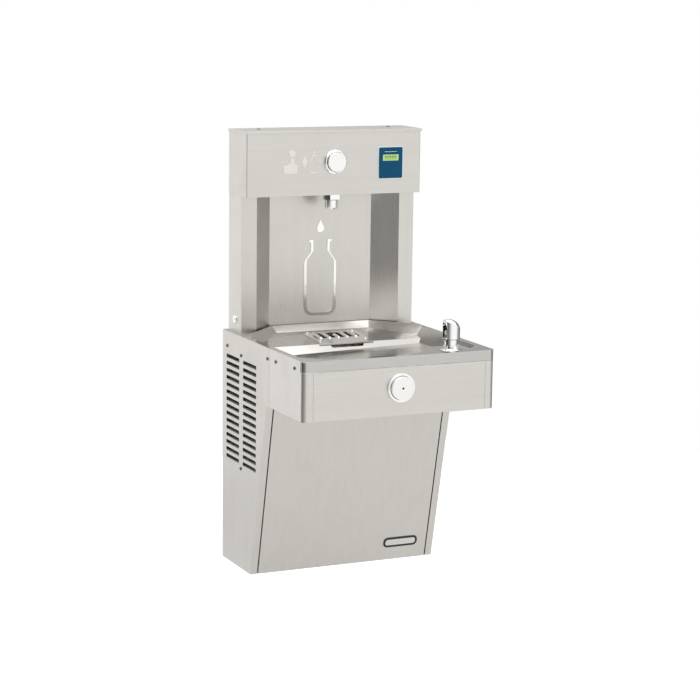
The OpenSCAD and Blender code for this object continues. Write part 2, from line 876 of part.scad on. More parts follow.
// A cap with a skirt and a stem, along y, with its face at y = 0 and the wall behind it.
// The clip on the stem stops against the guide plate.
module button(r, skirt, stem_r, guide_y, stem_l) {
    rod_y(r, 0, cap_t, 0, 0);
    difference() {
        rod_y(r, 0, skirt, 0, 0);
        rod_y(r - sleeve_wall, cap_t, skirt + over, 0, 0);
    }
    rod_y(stem_r, 0, stem_l, 0, 0);
    rod_y(stem_r + clip_w, guide_y + clip_gap, guide_y + clip_gap + clip_t, 0, 0);
}

push_guide_y = push_out + sleeve_l + guide_t;
push_stem_l = push_guide_y + clip_gap + clip_t + push_travel + clip_t;

module push_button() {
    color("whitesmoke") at_mount() translate([0, -apron_d - push_out, push_z]) difference() {
        button(push_d / 2, push_out + sleeve_l / 2, push_stem_r, push_guide_y, push_stem_l);
        rod_y(push_dimple_r, -over, push_dimple, 0, 0);
    }
}

module push_spring() {
    color("silver") at_mount()
        translate([0, -apron_d + sleeve_l - spring_end, push_z])
            coil(push_stem_r + clip_w + wire_r, wire_r,
                 push_out + sleeve_l - cap_t - 2 * spring_end, spring_turns);
}

// Regulator valve behind the push button, held by the two arms of the bezel
valve_r = 16;
valve_l = 40;
valve_flange_t = 8;
valve_stem_r = 4;
valve_bore_l = 20;
valve_port_r = 7;
valve_port_l = 12;
valve_y = apron_d - sleeve_l - guide_t - arm_l;
tube_r = 4.75;

module regulator_valve() {
    color("goldenrod") at_mount() difference() {
        union() {
            block([-valve_x, valve_x], [-valve_y, -valve_y + valve_flange_t],
                  [push_z - arm_h / 2, push_z + arm_h / 2]);
            rod_y(valve_r, -valve_y, -valve_y + valve_l, 0, push_z);
            rod_x(valve_port_r, 0, valve_r + valve_port_l, -valve_port_y, push_z);
        }
        rod_y(valve_stem_r + run, -valve_y - over, -valve_y + valve_bore_l, 0, push_z);
    }
}

valve_port_y = valve_y - valve_l + valve_port_r + over;

module valve_stem() {
    color("silver") at_mount()
        rod_y(valve_stem_r, -apron_d - push_out + push_stem_l, -valve_y + valve_bore_l - 2 * push_travel,
              0, push_z);
}

// Compressor on rubber feet
comp_gap = 121.5;
comp_x = half_w - comp_gap;
comp_y = base_d / 2;
comp_round = 28;
feet_x = 76;
feet_y = 52;
foot_r = 11;
foot_h = 13;
foot_plate_t = 3;
foot_plate_w = 26;
comp_z = floor_z + foot_h;
comp_port_y = [43, 60];
comp_port_x = 82;
comp_port_h = 18;
port_r = 5;
cover_w = 46;
cover_h = 60;
cover_d = 16;

module compressor() {
    r = comp_d / 2;
    top = comp_z + comp_h;
    color("dimgray") at_mount() difference() {
        union() {
            translate([comp_x, -comp_y, comp_z]) rotate_extrude() {
                square([r - comp_round, comp_h]);
                translate([0, comp_round]) square([r, comp_h - 2 * comp_round]);
                for (z = [comp_round, comp_h - comp_round])
                    translate([r - comp_round, z]) circle(r = comp_round);
            }
            for (s = [-1, 1])
                block([comp_x - feet_x - foot_r, comp_x + feet_x + foot_r],
                      [-comp_y + s * feet_y - foot_plate_w / 2, -comp_y + s * feet_y + foot_plate_w / 2],
                      [comp_z, comp_z + foot_plate_t]);
            for (y = comp_port_y) rod_z(port_r, top - comp_round, top + comp_port_h, comp_port_x, -y);
            block([comp_x - cover_w / 2, comp_x + cover_w / 2],
                  [-comp_y - r - cover_d / 2, -comp_y], [comp_z + comp_round, comp_z + comp_round + cover_h]);
        }
        for (sx = [-1, 1], sy = [-1, 1])
            rod_z(stud_r + loose, comp_z - over, comp_z + foot_plate_t + over, comp_x + sx * feet_x,
                  -comp_y + sy * feet_y);
    }
}

module compressor_feet() {
    color("black") at_mount() for (sx = [-1, 1], sy = [-1, 1])
        translate([comp_x + sx * feet_x, -comp_y + sy * feet_y, floor_z]) difference() {
            cylinder(r = foot_r, h = foot_h);
            translate([0, 0, -over]) cylinder(r = stud_r + loose, h = foot_h + 2 * over);
        }
}

// Condenser with fins, its shroud, and the fan on its motor
cond_gap = 9.5;
cond_x = half_w - cond_gap;
cond_t = 26;
cond_y = [30, 200];
cond_z = [245, 435];
fin_t = 1.2;
fin_count = 18;
cond_tubes = 6;
cond_tube_r = 4;
fan_y = (cond_y[0] + cond_y[1]) / 2;
fan_z = (cond_z[0] + cond_z[1]) / 2;
shroud_t = 2;
shroud_l = 16;
fan_gap = 3;
fan_hub_r = 14;
fan_hub_l = 18;
blade_t = 1.6;
blade_chord = 34;
blade_pitch = 65;
shaft_r = 4;
arm_r = 3;
motor_reach = 64;
motor_x = cond_x - motor_reach;
motor_r = 28;
motor_l = 48;
motor_arm_w = 14;

module condenser() {
    step = (cond_y[1] - cond_y[0] - fin_t) / (fin_count - 1);
    rows = (cond_z[1] - cond_z[0]) / cond_tubes;
    color("dimgray") at_mount() {
        for (i = [0 : fin_count - 1])
            block([-cond_x, -(cond_x - cond_t)], [-cond_y[0] - fin_t - i * step, -cond_y[0] - i * step],
                  cond_z);
        for (i = [0 : cond_tubes - 1], s = [1, 3])
            rod_y(cond_tube_r, -cond_y[1], -cond_y[0], -(cond_x - cond_t * s / 4),
                  cond_z[0] + (i + 1 / 2) * rows);
        block([-(inner_x - chassis), -(cond_x - fin_t)],
              [-(strut_y + strut_w / 4), -(strut_y - strut_w / 4)], [cond_z[0] + rows, cond_z[1] - rows]);
    }
}

module fan_shroud() {
    plate_x = cond_x - cond_t;
    ring_r = fan_d / 2 + fan_gap;
    arm_z = (ring_r + shroud_t + (cond_z[1] - cond_z[0]) / 2) / 2;
    color("black") at_mount() difference() {
        union() {
            block([-plate_x, -(plate_x - shroud_t)], [-cond_y[1], -cond_y[0]], cond_z);
            rod_x(ring_r + shroud_t, -plate_x, -(plate_x - shroud_l), -fan_y, fan_z);
            for (s = [-1, 1]) rod_x(arm_r, -plate_x, -motor_x, -fan_y, fan_z + s * arm_z);
            block([-(motor_x + shroud_t), -motor_x], [-fan_y - motor_arm_w / 2, -fan_y + motor_arm_w / 2],
                  [fan_z - arm_z - arm_r, fan_z + arm_z + arm_r]);
        }
        rod_x(ring_r, -plate_x - over, -(plate_x - shroud_l) + over, -fan_y, fan_z);
        rod_x(shaft_r + loose, -(motor_x + shroud_t) - over, -motor_x + over, -fan_y, fan_z);
    }
}

module fan_blade() {
    hub_x = -(cond_x - cond_t - shroud_t);
    tip = fan_d / 2 - fan_gap / 2;
    color("whitesmoke") at_mount() translate([0, -fan_y, fan_z]) {
        intersection() {
            union() for (i = [0 : fan_blades - 1]) rotate([i * 360 / fan_blades, 0, 0])
                translate([hub_x + fan_hub_l / 2, 0, 0]) rotate([0, 0, blade_pitch])
                    translate([-blade_chord / 2, -blade_t / 2, 0]) cube([blade_chord, blade_t, fan_d]);
            rod_x(tip, hub_x, hub_x + fan_hub_l, 0, 0);
        }
        rod_x(fan_hub_r, hub_x, hub_x + fan_hub_l, 0, 0);
        rod_x(shaft_r, hub_x, -motor_x + motor_l / 2, 0, 0);
    }
}

module fan_motor() {
    color("darkgray") at_mount() difference() {
        union() {
            rod_x(motor_r, -motor_x, -motor_x + motor_l, -fan_y, fan_z);
            rod_x(motor_r / 2, -motor_x, -motor_x + motor_l + over, -fan_y, fan_z);
        }
        rod_x(shaft_r + run, -motor_x - over, -motor_x + motor_l / 2 + over, -fan_y, fan_z);
    }
}

// Cooling tank on the frame's shelf, with its ports
tank_gap = 118.5;
tank_x = half_w - tank_gap;
tank_y = 100;
tank_z = 232;
tank_round = 12;
tank_port_h = 8;
// Ports on the tank's top: to the compressor, from the filter, to the bubbler, to the hood
tank_port_shares = [[-0.4, 0.4], [0.4, 0], [0, -0.5], [-0.5, -0.3]];
tank_top = tank_z + tank_h + tank_port_h;
side_port_z = 250;
function tank_port(i) = [tank_x + tank_port_shares[i][0] * tank_d / 2,
                         -tank_y + tank_port_shares[i][1] * tank_d / 2];

module cooling_tank() {
    r = tank_d / 2;
    color("black") at_mount() {
        translate([tank_x, -tank_y, tank_z]) rotate_extrude() {
            square([r - tank_round, tank_h]);
            translate([0, tank_round]) square([r, tank_h - 2 * tank_round]);
            for (z = [tank_round, tank_h - tank_round])
                translate([r - tank_round, z]) circle(r = tank_round);
        }
        for (i = [0 : len(tank_port_shares) - 1])
            rod_z(tube_r + sheet, tank_top - tank_port_h - over, tank_top, tank_port(i)[0], tank_port(i)[1]);
        rod_x(port_r, tank_x - r - tank_port_h, tank_x, -tank_y, side_port_z);
    }
}

// Copper lines between compressor, condenser, drier and tank
copper_r = 3.2;
wall_y = 14;
return_x = 36;
link_z = 214;
drier_r = 10;
drier_x = [-60, 20];
drier_z = 230;
drier_gap = 30;
drier_y = front_at(drier_z) - drier_gap;
cond_end_z = [262, 418];
link_x = 26;
front_line_y = cond_y[1] + wall_y;

module refrigerant_lines() {
    comp_top = comp_z + comp_h + comp_port_h;
    out_x = -(cond_x - cond_t / 2 - copper_r);
    suction = tank_port(0);
    color("peru") at_mount() {
        run_along([[comp_port_x, -comp_port_y[0], comp_top], [comp_port_x, -comp_port_y[0], link_z],
                   [link_x, -comp_port_y[0], link_z], [link_x, -wall_y, link_z],
                   [out_x, -wall_y, link_z], [out_x, -wall_y, cond_end_z[1]],
                   [out_x, -cond_y[0], cond_end_z[1]]], copper_r);
        run_along([[suction[0], suction[1], tank_top], [suction[0], suction[1], tank_top + wall_y],
                   [return_x, suction[1], tank_top + wall_y], [return_x, suction[1], link_z],
                   [return_x, -comp_port_y[1], link_z],
                   [comp_port_x, -comp_port_y[1], link_z], [comp_port_x, -comp_port_y[1], comp_top]],
                  copper_r);
        run_along([[out_x, -cond_y[1], cond_end_z[0]], [out_x, -front_line_y, cond_end_z[0]],
                   [out_x, -front_line_y, drier_z], [drier_x[0] - wall_y, -front_line_y, drier_z],
                   [drier_x[0] - wall_y, -drier_y, drier_z], [drier_x[0], -drier_y, drier_z]], copper_r);
        run_along([[drier_x[1], -drier_y, drier_z], [return_x, -drier_y, drier_z],
                   [return_x, -drier_y, side_port_z], [return_x, -tank_y, side_port_z],
                   [tank_x - tank_d / 2 - tank_port_h, -tank_y, side_port_z]], copper_r);
    }
}

module filter_drier() {
    color("peru") at_mount() rod_x(drier_r, drier_x[0], drier_x[1], -drier_y, drier_z);
}

// Water filter: a head on the back frame and a cartridge that turns in it
filter_x = -62;
filter_y = 70;
filter_z = 300;
head_h = 35;
head_w = 68;
neck_r = 14;
neck_l = 12;
port_x = 13;
port_y = 50;
grip_w = 8;

module filter_head() {
    color("white") at_mount() difference() {
        block([filter_x - head_w / 2, filter_x + head_w / 2], [-(filter_y + head_w / 2), -chassis],
              [filter_z, filter_z + head_h]);
        rod_z(neck_r + run, filter_z - over, filter_z + neck_l + clip_gap, filter_x, -filter_y);
    }
}

module filter_cartridge() {
    r = filter_d / 2;
    low = filter_z - clip_gap - filter_l;
    color("white") at_mount() {
        rod_z(r, low + grip_w, filter_z - clip_gap, filter_x, -filter_y);
        rod_z(r - grip_w, low, low + grip_w, filter_x, -filter_y);
        rod_z(neck_r, filter_z - grip_w, filter_z + neck_l, filter_x, -filter_y);
    }
}

// Water inlet, as a tube stub to the wall with its strainer
inlet_x = filter_x - port_x;
inlet_z = 440;
inlet_r = 4.76;
inlet_l = 28;
strainer_l = 34;
strainer_r = 11;
elbow_r = 7;
elbow_z = 420;

module inlet_fitting() {
    color("goldenrod") at_mount() {
        rod_y(inlet_r, -inlet_l, 0, inlet_x, inlet_z);
        rod_y(strainer_r, -inlet_l - strainer_l, -inlet_l, inlet_x, inlet_z);
        rod_z(elbow_r, elbow_z, inlet_z, inlet_x, -port_y);
    }
}

// Water tubes: inlet, filter to tank, tank to valve, valve to bubbler, riser and filler
cross_y = 34;
cross_x = 27;
cross_z = 346;
high_z = 466;
riser_z = 486;
low_run = 16;

module water_lines() {
    from_filter = [filter_x + port_x, -port_y];
    into_tank = tank_port(1);
    to_bubbler = tank_port(2);
    to_hood = tank_port(3);
    valve_end = -valve_y + valve_l;
    shank_end = shelf_z - bubbler_shank_l;
    color("lightsteelblue") at_mount() {
        run_along([[inlet_x, -port_y, elbow_z], [inlet_x, -port_y, filter_z + head_h]], tube_r);
        run_along([[from_filter[0], from_filter[1], filter_z + head_h],
                   [from_filter[0], from_filter[1], cross_z], [from_filter[0], -cross_y, cross_z],
                   [cross_x, -cross_y, cross_z], [cross_x, -cross_y, high_z],
                   [into_tank[0], -cross_y, high_z], [into_tank[0], into_tank[1], high_z],
                   [into_tank[0], into_tank[1], tank_top]], tube_r);
        run_along([[to_bubbler[0], to_bubbler[1], tank_top], [to_bubbler[0], to_bubbler[1], push_z],
                   [to_bubbler[0], -valve_port_y, push_z],
                   [valve_r + valve_port_l, -valve_port_y, push_z]], tube_r);
        run_along([[0, valve_end, push_z], [0, valve_end + low_run, push_z],
                   [0, valve_end + low_run, push_z - low_run],
                   [bubbler_x, valve_end + low_run, push_z - low_run],
                   [bubbler_x, -bubbler_y, push_z - low_run], [bubbler_x, -bubbler_y, shank_end]],
                  tube_r);
        run_along([[to_hood[0], to_hood[1], tank_top], [to_hood[0], to_hood[1], riser_z],
                   [to_hood[0], -riser_y, riser_z], [riser_x, -riser_y, riser_z],
                   [riser_x, -riser_y, solenoid_z]], tube_r);
        run_along([[riser_x + solenoid_w / 2 + solenoid_port, -solenoid_y, solenoid_z + solenoid_h / 2],
                   [0, -solenoid_y, solenoid_z + solenoid_h / 2],
                   [0, -nozzle_y, solenoid_z + solenoid_h / 2],
                   [0, -nozzle_y, hood_z + nozzle_shank_l]], tube_r);
    }
}

// Thermostat on the right strut, with its knob to the front
thermo_gap = 33.5;
thermo_x = half_w - thermo_gap;
thermo_w = 22;
thermo_y = [98, 134];
thermo_z = [300, 345];
knob_r = 11;
knob_h = 12;
knob_shaft_r = 3;
knob_shaft_l = 14;
knob_mark = 2;

module thermostat() {
    mid_z = (thermo_z[0] + thermo_z[1]) / 2;
    color("ivory") at_mount() difference() {
        union() {
            block([thermo_x, thermo_x + thermo_w], [-thermo_y[1], -thermo_y[0]], thermo_z);
            block([thermo_x + thermo_w / 2, inner_x - chassis],
                  [-(strut_y + strut_w / 4), -(strut_y - strut_w / 4)], thermo_z);
        }
        rod_y(knob_shaft_r + run, -thermo_y[1] - over, -thermo_y[1] + knob_shaft_l + clip_gap,
              thermo_x + thermo_w / 2, mid_z);
    }
}

module thermostat_knob() {
    mid_z = (thermo_z[0] + thermo_z[1]) / 2;
    face = -thermo_y[1] - clip_gap;
    color("black") at_mount() translate([thermo_x + thermo_w / 2, 0, mid_z]) difference() {
        union() {
            rod_y(knob_r, face - knob_h, face, 0, 0);
            rod_y(knob_shaft_r, face, -thermo_y[1] + knob_shaft_l, 0, 0);
        }
        block([-knob_mark / 2, knob_mark / 2], [face - knob_h - over, face - knob_h + knob_mark],
              [0, knob_r + over]);
    }
}

// Junction box with the cable gland of the power supply
box_l = 62;
box_x = [-cond_x, -cond_x + box_l];
box_y = 50;
box_z = [20, 88];
box_wall = 2;
gland_r = 9;
gland_l = 16;
gland_bore_r = 4.5;

module junction_box() {
    mid_z = (box_z[0] + box_z[1]) / 2;
    mid_y = -(box_y + chassis) / 2;
    color("gray") at_mount() difference() {
        union() {
            block(box_x, [-box_y, -chassis], box_z);
            rod_x(gland_r, box_x[1], box_x[1] + gland_l, mid_y, mid_z);
        }
        block([box_x[0] + box_wall, box_x[1] - box_wall], [-box_y + box_wall, -chassis - box_wall],
              [box_z[0] + box_wall, box_z[1] - box_wall]);
        rod_x(gland_bore_r, box_x[1] - 2 * box_wall, box_x[1] + gland_l + over, mid_y, mid_z);
    }
}

// Tower: back plate with its own wall bolts and a flange for the cap's screws,
// two uprights and the alcove's liner
tower_half = tower_w / 2;
tower_bolt_w = 300;
tower_bolt_h = 180;
tower_bolt_z = (rim_z + hood_z) / 2;
tower_bolt_r = 3.5;

cap_screw_share = 0.75;
cap_screw_x = hood_w / 2 * cap_screw_share;
cap_screw_y = 45;
top_flange = 60;

module tower_back() {
    width = tower_half - sheet;
    color("lightgray") at_mount() difference() {
        union() {
            block([-width, width], [-sheet, 0], [rim_z, hood_top - sheet]);
            block([-width, width], [-top_flange, 0], [hood_top - 2 * sheet, hood_top - sheet]);
        }
        both_sides() rod_z(screw_r + loose, hood_top - over, hood_top, cap_screw_x, -cap_screw_y);
        both_sides() for (s = [-1, 1])
            rod_y(tower_bolt_r, -sheet - over, over, tower_bolt_w / 2, tower_bolt_z + s * tower_bolt_h / 2);
    }
}

module upright() {
    block([tower_half - sheet, tower_half], [-tower_d, 0], [rim_z, hood_z]);
    block([tower_half - upright_w, tower_half], [-tower_d, -tower_d + sheet], [rim_z, hood_z]);
}

lock_y = 40;
lock_up = 29;
lock_z = rim_z + lock_up;
lock_r = 8;
lock_flange_r = 9.5;
lock_flange_t = 2.5;
lock_l = 20;
plug_r = 6;
cam_l = 24;
cam_w = 12;
cam_t = 2;
keyway_w = 1.6;
keyway_h = 7;

module upright_left() {
    color("silver") at_mount() difference() {
        mirror([1, 0, 0]) upright();
        rod_x(lock_r + loose, -tower_half - over, -tower_half + sheet + over, -lock_y, lock_z);
    }
}

module upright_right() {
    color("silver") at_mount() upright();
}

module lock_housing() {
    color("lightgray") at_mount() difference() {
        union() {
            rod_x(lock_flange_r, -tower_half - lock_flange_t, -tower_half, -lock_y, lock_z);
            rod_x(lock_r, -tower_half, -tower_half + lock_l, -lock_y, lock_z);
        }
        rod_x(plug_r + run, -tower_half - lock_flange_t - over, -tower_half + lock_l + over,
              -lock_y, lock_z);
    }
}

module lock_plug() {
    cam_x = -tower_half + lock_l + clip_gap;
    color("gray") at_mount() translate([0, -lock_y, lock_z]) difference() {
        union() {
            rod_x(plug_r, -tower_half - lock_flange_t, cam_x + cam_t, 0, 0);
            block([cam_x, cam_x + cam_t], [-cam_w / 2, cam_w / 2], [-cam_w / 2, cam_l]);
        }
        block([-tower_half - lock_flange_t - over, -tower_half + over], [-keyway_w / 2, keyway_w / 2],
              [-keyway_h / 2, keyway_h / 2]);
    }
}

// The liner's outline in plan: back panel and two splayed wings, bent from one sheet.
// The bottle and the drop stand out of its back panel.
relief = 1;
bottle_z = [573, 754];
bottle_body_w = 84;
bottle_neck_w = 50;
bottle_lip_w = 60;
bottle_lip_h = 7;
bottle_line = 8;
bottle_round = 25;
shoulder_z = [701, 724];
drop_z = 780;
drop_r = 10;
drop_h = 21;
drop_share = 0.97;

module bottle_shape(inset, low) {
    body = bottle_body_w / 2 - inset;
    neck = bottle_neck_w / 2 - inset;
    round_r = bottle_round - inset;
    translate([-body, low + round_r]) square([2 * body, shoulder_z[0] - low - round_r]);
    translate([-body + round_r, low]) square([2 * (body - round_r), round_r]);
    for (s = [-1, 1]) translate([s * (body - round_r), low + round_r]) circle(r = round_r);
    polygon([[-body, shoulder_z[0]], [body, shoulder_z[0]], [neck, shoulder_z[1]],
             [-neck, shoulder_z[1]]]);
    translate([-neck, shoulder_z[1]]) square([2 * neck, bottle_z[1] - shoulder_z[1]]);
}

module bottle_outline() {
    difference() {
        union() {
            bottle_shape(0, bottle_z[0]);
            translate([-bottle_lip_w / 2, bottle_z[1] - bottle_lip_h]) square([bottle_lip_w, bottle_lip_h]);
        }
        bottle_shape(bottle_line, bottle_z[0] + bottle_line);
        translate([-bottle_neck_w / 2 + bottle_line, shoulder_z[1]])
            square([bottle_neck_w - 2 * bottle_line, bottle_z[1] - shoulder_z[1] + over]);
    }
}

module drop_shape(r, h) {
    tangent = drop_share * r * r / h;
    side = drop_share * r * sqrt(1 - r * r / (h * h));
    circle(r = r);
    polygon([[-side, tangent], [side, tangent], [0, h]]);
}

module alcove_liner() {
    front_x = tower_half - upright_w;
    back_x = alcove_w / 2;
    deep = tower_d - alcove_y;
    wide = front_x - back_x;
    out = sheet * norm([deep, wide]) / deep;
    lean = wide / deep;
    end = tower_d - sheet;
    color("silver") at_mount() {
        along_z(rim_z, hood_z)
            polygon([[-(front_x - sheet * lean), -end], [-back_x, -alcove_y], [back_x, -alcove_y],
                     [front_x - sheet * lean, -end], [front_x - sheet * lean + out, -end],
                     [back_x + out - sheet * lean, -alcove_y + sheet],
                     [-(back_x + out - sheet * lean), -alcove_y + sheet],
                     [-(front_x - sheet * lean + out), -end]]);
        along_y(-alcove_y - relief, -alcove_y) {
            bottle_outline();
            translate([0, drop_z]) drop_shape(drop_r, drop_h);
        }
    }
}

// Hood: a bent shell, its floor and its cap
hood_half = hood_w / 2;
mark_relief = 0.6;
ring_out = 8;
ring_sleeve = 12;
fill_out = 14;
fill_stem_r = 6;
fill_share = 0.535;
fill_z = hood_z + (hood_h - cap_h) * fill_share;
ring_sleeve_r = fill_d / 2 + button_gap + sleeve_wall;
hand_x = -111;
hand_w = 38;
hand_h = 27;
hand_r = 5;
thumb_w = 12;
thumb_r = 9.5;
thumb_up = 42;
arrow_x = -76;
arrow_r = 10;
flask_x = -53;
flask_w = 24;
flask_h = 32;
flask_line = 3;
flask_r = 6;
flask_neck = 10;
flask_top_share = 0.75;

// Pictogram of a thumb on a button, an arrow and a bottle under a drop
module marks() {
    translate([hand_x, fill_z - hand_h / 2]) {
        round_rect(hand_w, hand_h, hand_r);
        translate([-thumb_w / 2, 0]) square([thumb_w, thumb_up - thumb_r]);
        translate([0, thumb_up - thumb_r / 2]) circle(r = thumb_r);
    }
    translate([arrow_x, fill_z]) polygon([[-arrow_r / 2, -arrow_r], [arrow_r, 0], [-arrow_r / 2, arrow_r]]);
    translate([flask_x, fill_z - hand_h / 2]) {
        difference() {
            flask_shape(0);
            flask_shape(flask_line);
        }
        translate([0, flask_h + flask_r]) drop_shape(flask_r / 2, flask_r + flask_line);
    }
}

module flask_shape(inset) {
    round_rect(flask_w - 2 * inset, flask_h - 2 * inset, flask_r - inset / 2);
    translate([-(flask_neck - inset) / 2, 0])
        square([flask_neck - inset, flask_h * flask_top_share - inset]);
}
module hood_shell() {
    color("silver") at_mount() {
        difference() {
            block([-hood_half, hood_half], [-hood_d, 0], [hood_z, hood_top - sheet]);
            block([-(hood_half - sheet), hood_half - sheet], [-(hood_d - sheet), over],
                  [hood_z - over, hood_top + over]);
            rod_y(ring_sleeve_r + loose, -hood_d - over, -hood_d + sheet + over, 0, fill_z);
        }
        along_y(-hood_d - mark_relief, -hood_d) marks();
    }
}

module hood_cap() {
    color("gainsboro") at_mount() difference() {
        block([-(hood_half + cap_over), hood_half + cap_over], [-(hood_d + cap_over), 0],
              [hood_top - cap_h, hood_top]);
        block([-(hood_half + loose), hood_half + loose], [-(hood_d + loose), over],
              [hood_top - cap_h - over, hood_top - sheet]);
        both_sides() rod_z(screw_r + loose, hood_top - cap_h, hood_top + over, cap_screw_x, -cap_screw_y);
    }
}

module cap_screws() {
    color("black") at_mount() both_sides() translate([cap_screw_x, -cap_screw_y, hood_top])
        screw(screw_head_r, screw_head_h, screw_r, screw_l);
}

module hood_floor() {
    color("silver") at_mount() difference() {
        block([-(hood_half - sheet), hood_half - sheet], [-(hood_d - sheet), -sheet],
              [hood_z, hood_z + sheet]);
        rod_z(nozzle_shank_r + loose, hood_z - over, hood_z + sheet + over, 0, -nozzle_y);
        rod_z(tube_r + loose, hood_z - over, hood_z + sheet + over, riser_x, -riser_y);
    }
}

// Fill button on the hood, in a ring with a sleeve, a guide plate and two switch arms
switch_w = 26;
switch_l = 20;
switch_h = 16;
plunger_r = 2;
plunger_in = 12;

module fill_ring() {
    back = -hood_d + ring_sleeve;
    color("lightgray") at_mount() difference() {
        union() {
            rod_y(ring_d / 2, -hood_d - ring_out, -hood_d, 0, fill_z);
            rod_y(ring_sleeve_r, -hood_d, back + guide_t, 0, fill_z);
            both_sides() block([switch_w / 2, switch_w / 2 + arm_w], [back, -switch_y + switch_l],
                               [fill_z - switch_h / 2, fill_z + switch_h / 2]);
        }
        rod_y(fill_d / 2 + button_gap, -hood_d - ring_out - over, back, 0, fill_z);
        rod_y(fill_stem_r + run, back - over, back + guide_t + over, 0, fill_z);
    }
}

fill_guide_y = fill_out + ring_sleeve + guide_t;
fill_stem_l = fill_guide_y + clip_gap + clip_t + fill_travel + clip_t;
switch_y = hood_d + fill_out - fill_stem_l - 2 * fill_travel;

module fill_button() {
    color("whitesmoke") at_mount() translate([0, -hood_d - fill_out, fill_z])
        button(fill_d / 2, fill_out + ring_sleeve / 2 - fill_travel, fill_stem_r, fill_guide_y, fill_stem_l);
}

module fill_spring() {
    color("silver") at_mount() translate([0, -hood_d + ring_sleeve - spring_end, fill_z])
        coil(fill_stem_r + clip_w + wire_r, wire_r,
             fill_out + ring_sleeve - cap_t - 2 * spring_end, spring_turns);
}

module fill_switch() {
    color("black") at_mount() difference() {
        block([-switch_w / 2, switch_w / 2], [-switch_y, -switch_y + switch_l],
              [fill_z - switch_h / 2, fill_z + switch_h / 2]);
        rod_y(plunger_r + run, -switch_y - over, -switch_y + plunger_in, 0, fill_z);
    }
}

module switch_plunger() {
    color("red") at_mount()
        rod_y(plunger_r, -hood_d - fill_out + fill_stem_l, -switch_y + plunger_in - fill_travel - clip_t,
              0, fill_z);
}

// Display panel, its window and the control board behind the hood's front
display_x = 142;
display_share = 0.496;
display_z = hood_z + (hood_h - cap_h) * display_share;
display_t = 1;
display_r = 5;
lens_w = 39;
lens_h = 13;
lens_up = 12;
lens_t = 0.6;
board_w = 84;
board_h = 84;
board_t = 1.6;
board_gap = 9;
standoff_r = 3;
chip_w = 30;
chip_h = 12;

module display_panel() {
    color("steelblue") at_mount() along_y(-hood_d - display_t, -hood_d)
        translate([display_x, display_z]) round_rect(display_w, display_h, display_r);
}

module display_lens() {
    color("yellowgreen") at_mount()
        block([display_x - lens_w / 2, display_x + lens_w / 2],
              [-hood_d - display_t - lens_t, -hood_d - display_t],
              [display_z + lens_up - lens_h / 2, display_z + lens_up + lens_h / 2]);
}

module control_board() {
    front = -hood_d + sheet + board_gap;
    color("green") at_mount() translate([display_x, 0, display_z]) {
        block([-board_w / 2, board_w / 2], [front, front + board_t], [-board_h / 2, board_h / 2]);
        for (sx = [-1, 1], sz = [-1, 1])
            rod_y(standoff_r, -hood_d + sheet, front, sx * (board_w / 2 - 2 * standoff_r),
                  sz * (board_h / 2 - 2 * standoff_r));
        for (s = [-1, 1])
            block([-chip_w / 2, chip_w / 2], [front + board_t, front + board_t + chip_h],
                  [s * chip_w - chip_h / 2, s * chip_w + chip_h / 2]);
    }
}

// Nozzle with its hexagonal collar, held by a nut on the hood's floor
nozzle_collar_r = 24;
nozzle_collar_h = 11;
nozzle_shank_r = 12;
nozzle_shank_l = 30;
nozzle_bore_r = 5;
nozzle_tip = 4;
notch_w = 7;
notch_h = 4;
nozzle_nut_r = 20;
nozzle_nut_h = 9;

module nozzle() {
    r = nozzle_d / 2;
    low = hood_z - nozzle_h;
    color("lightgray") at_mount() translate([0, -nozzle_y, 0]) difference() {
        union() {
            translate([0, 0, hood_z - nozzle_collar_h])
                cylinder(r = nozzle_collar_r, h = nozzle_collar_h, $fn = 6);
            rod_z(r, low + nozzle_tip, hood_z, 0, 0);
            translate([0, 0, low]) cylinder(r1 = r - nozzle_tip, r2 = r, h = nozzle_tip);
            rod_z(nozzle_shank_r, hood_z, hood_z + nozzle_shank_l, 0, 0);
        }
        rod_z(nozzle_bore_r, low - over, hood_z + nozzle_shank_l - over, 0, 0);
        rod_z(tube_r / 2, low, hood_z + nozzle_shank_l + over, 0, 0);
        block([-notch_w / 2, notch_w / 2], [-r - over, r + over], [low - over, low + notch_h]);
    }
}

module nozzle_nut() {
    color("goldenrod") at_mount() translate([0, -nozzle_y, hood_z + sheet]) difference() {
        cylinder(r = nozzle_nut_r, h = nozzle_nut_h, $fn = 6);
        translate([0, 0, -over]) cylinder(r = nozzle_shank_r + run, h = nozzle_nut_h + 2 * over);
    }
}

// Solenoid valve on the tower's back plate, on top of the riser
solenoid_w = 40;
solenoid_up = 28;
solenoid_z = hood_z + solenoid_up;
solenoid_h = 30;
solenoid_d = 44;
solenoid_y = 26;
solenoid_port = 10;
coil_r = 16;
coil_h = 38;

module solenoid_valve() {
    color("dimgray") at_mount() {
        block([riser_x - solenoid_w / 2, riser_x + solenoid_w / 2], [-solenoid_d, -sheet],
              [solenoid_z, solenoid_z + solenoid_h]);
        rod_z(coil_r, solenoid_z + solenoid_h, solenoid_z + solenoid_h + coil_h, riser_x, -solenoid_y);
        rod_x(valve_port_r, riser_x, riser_x + solenoid_w / 2 + solenoid_port, -solenoid_y,
              solenoid_z + solenoid_h / 2);
    }
}

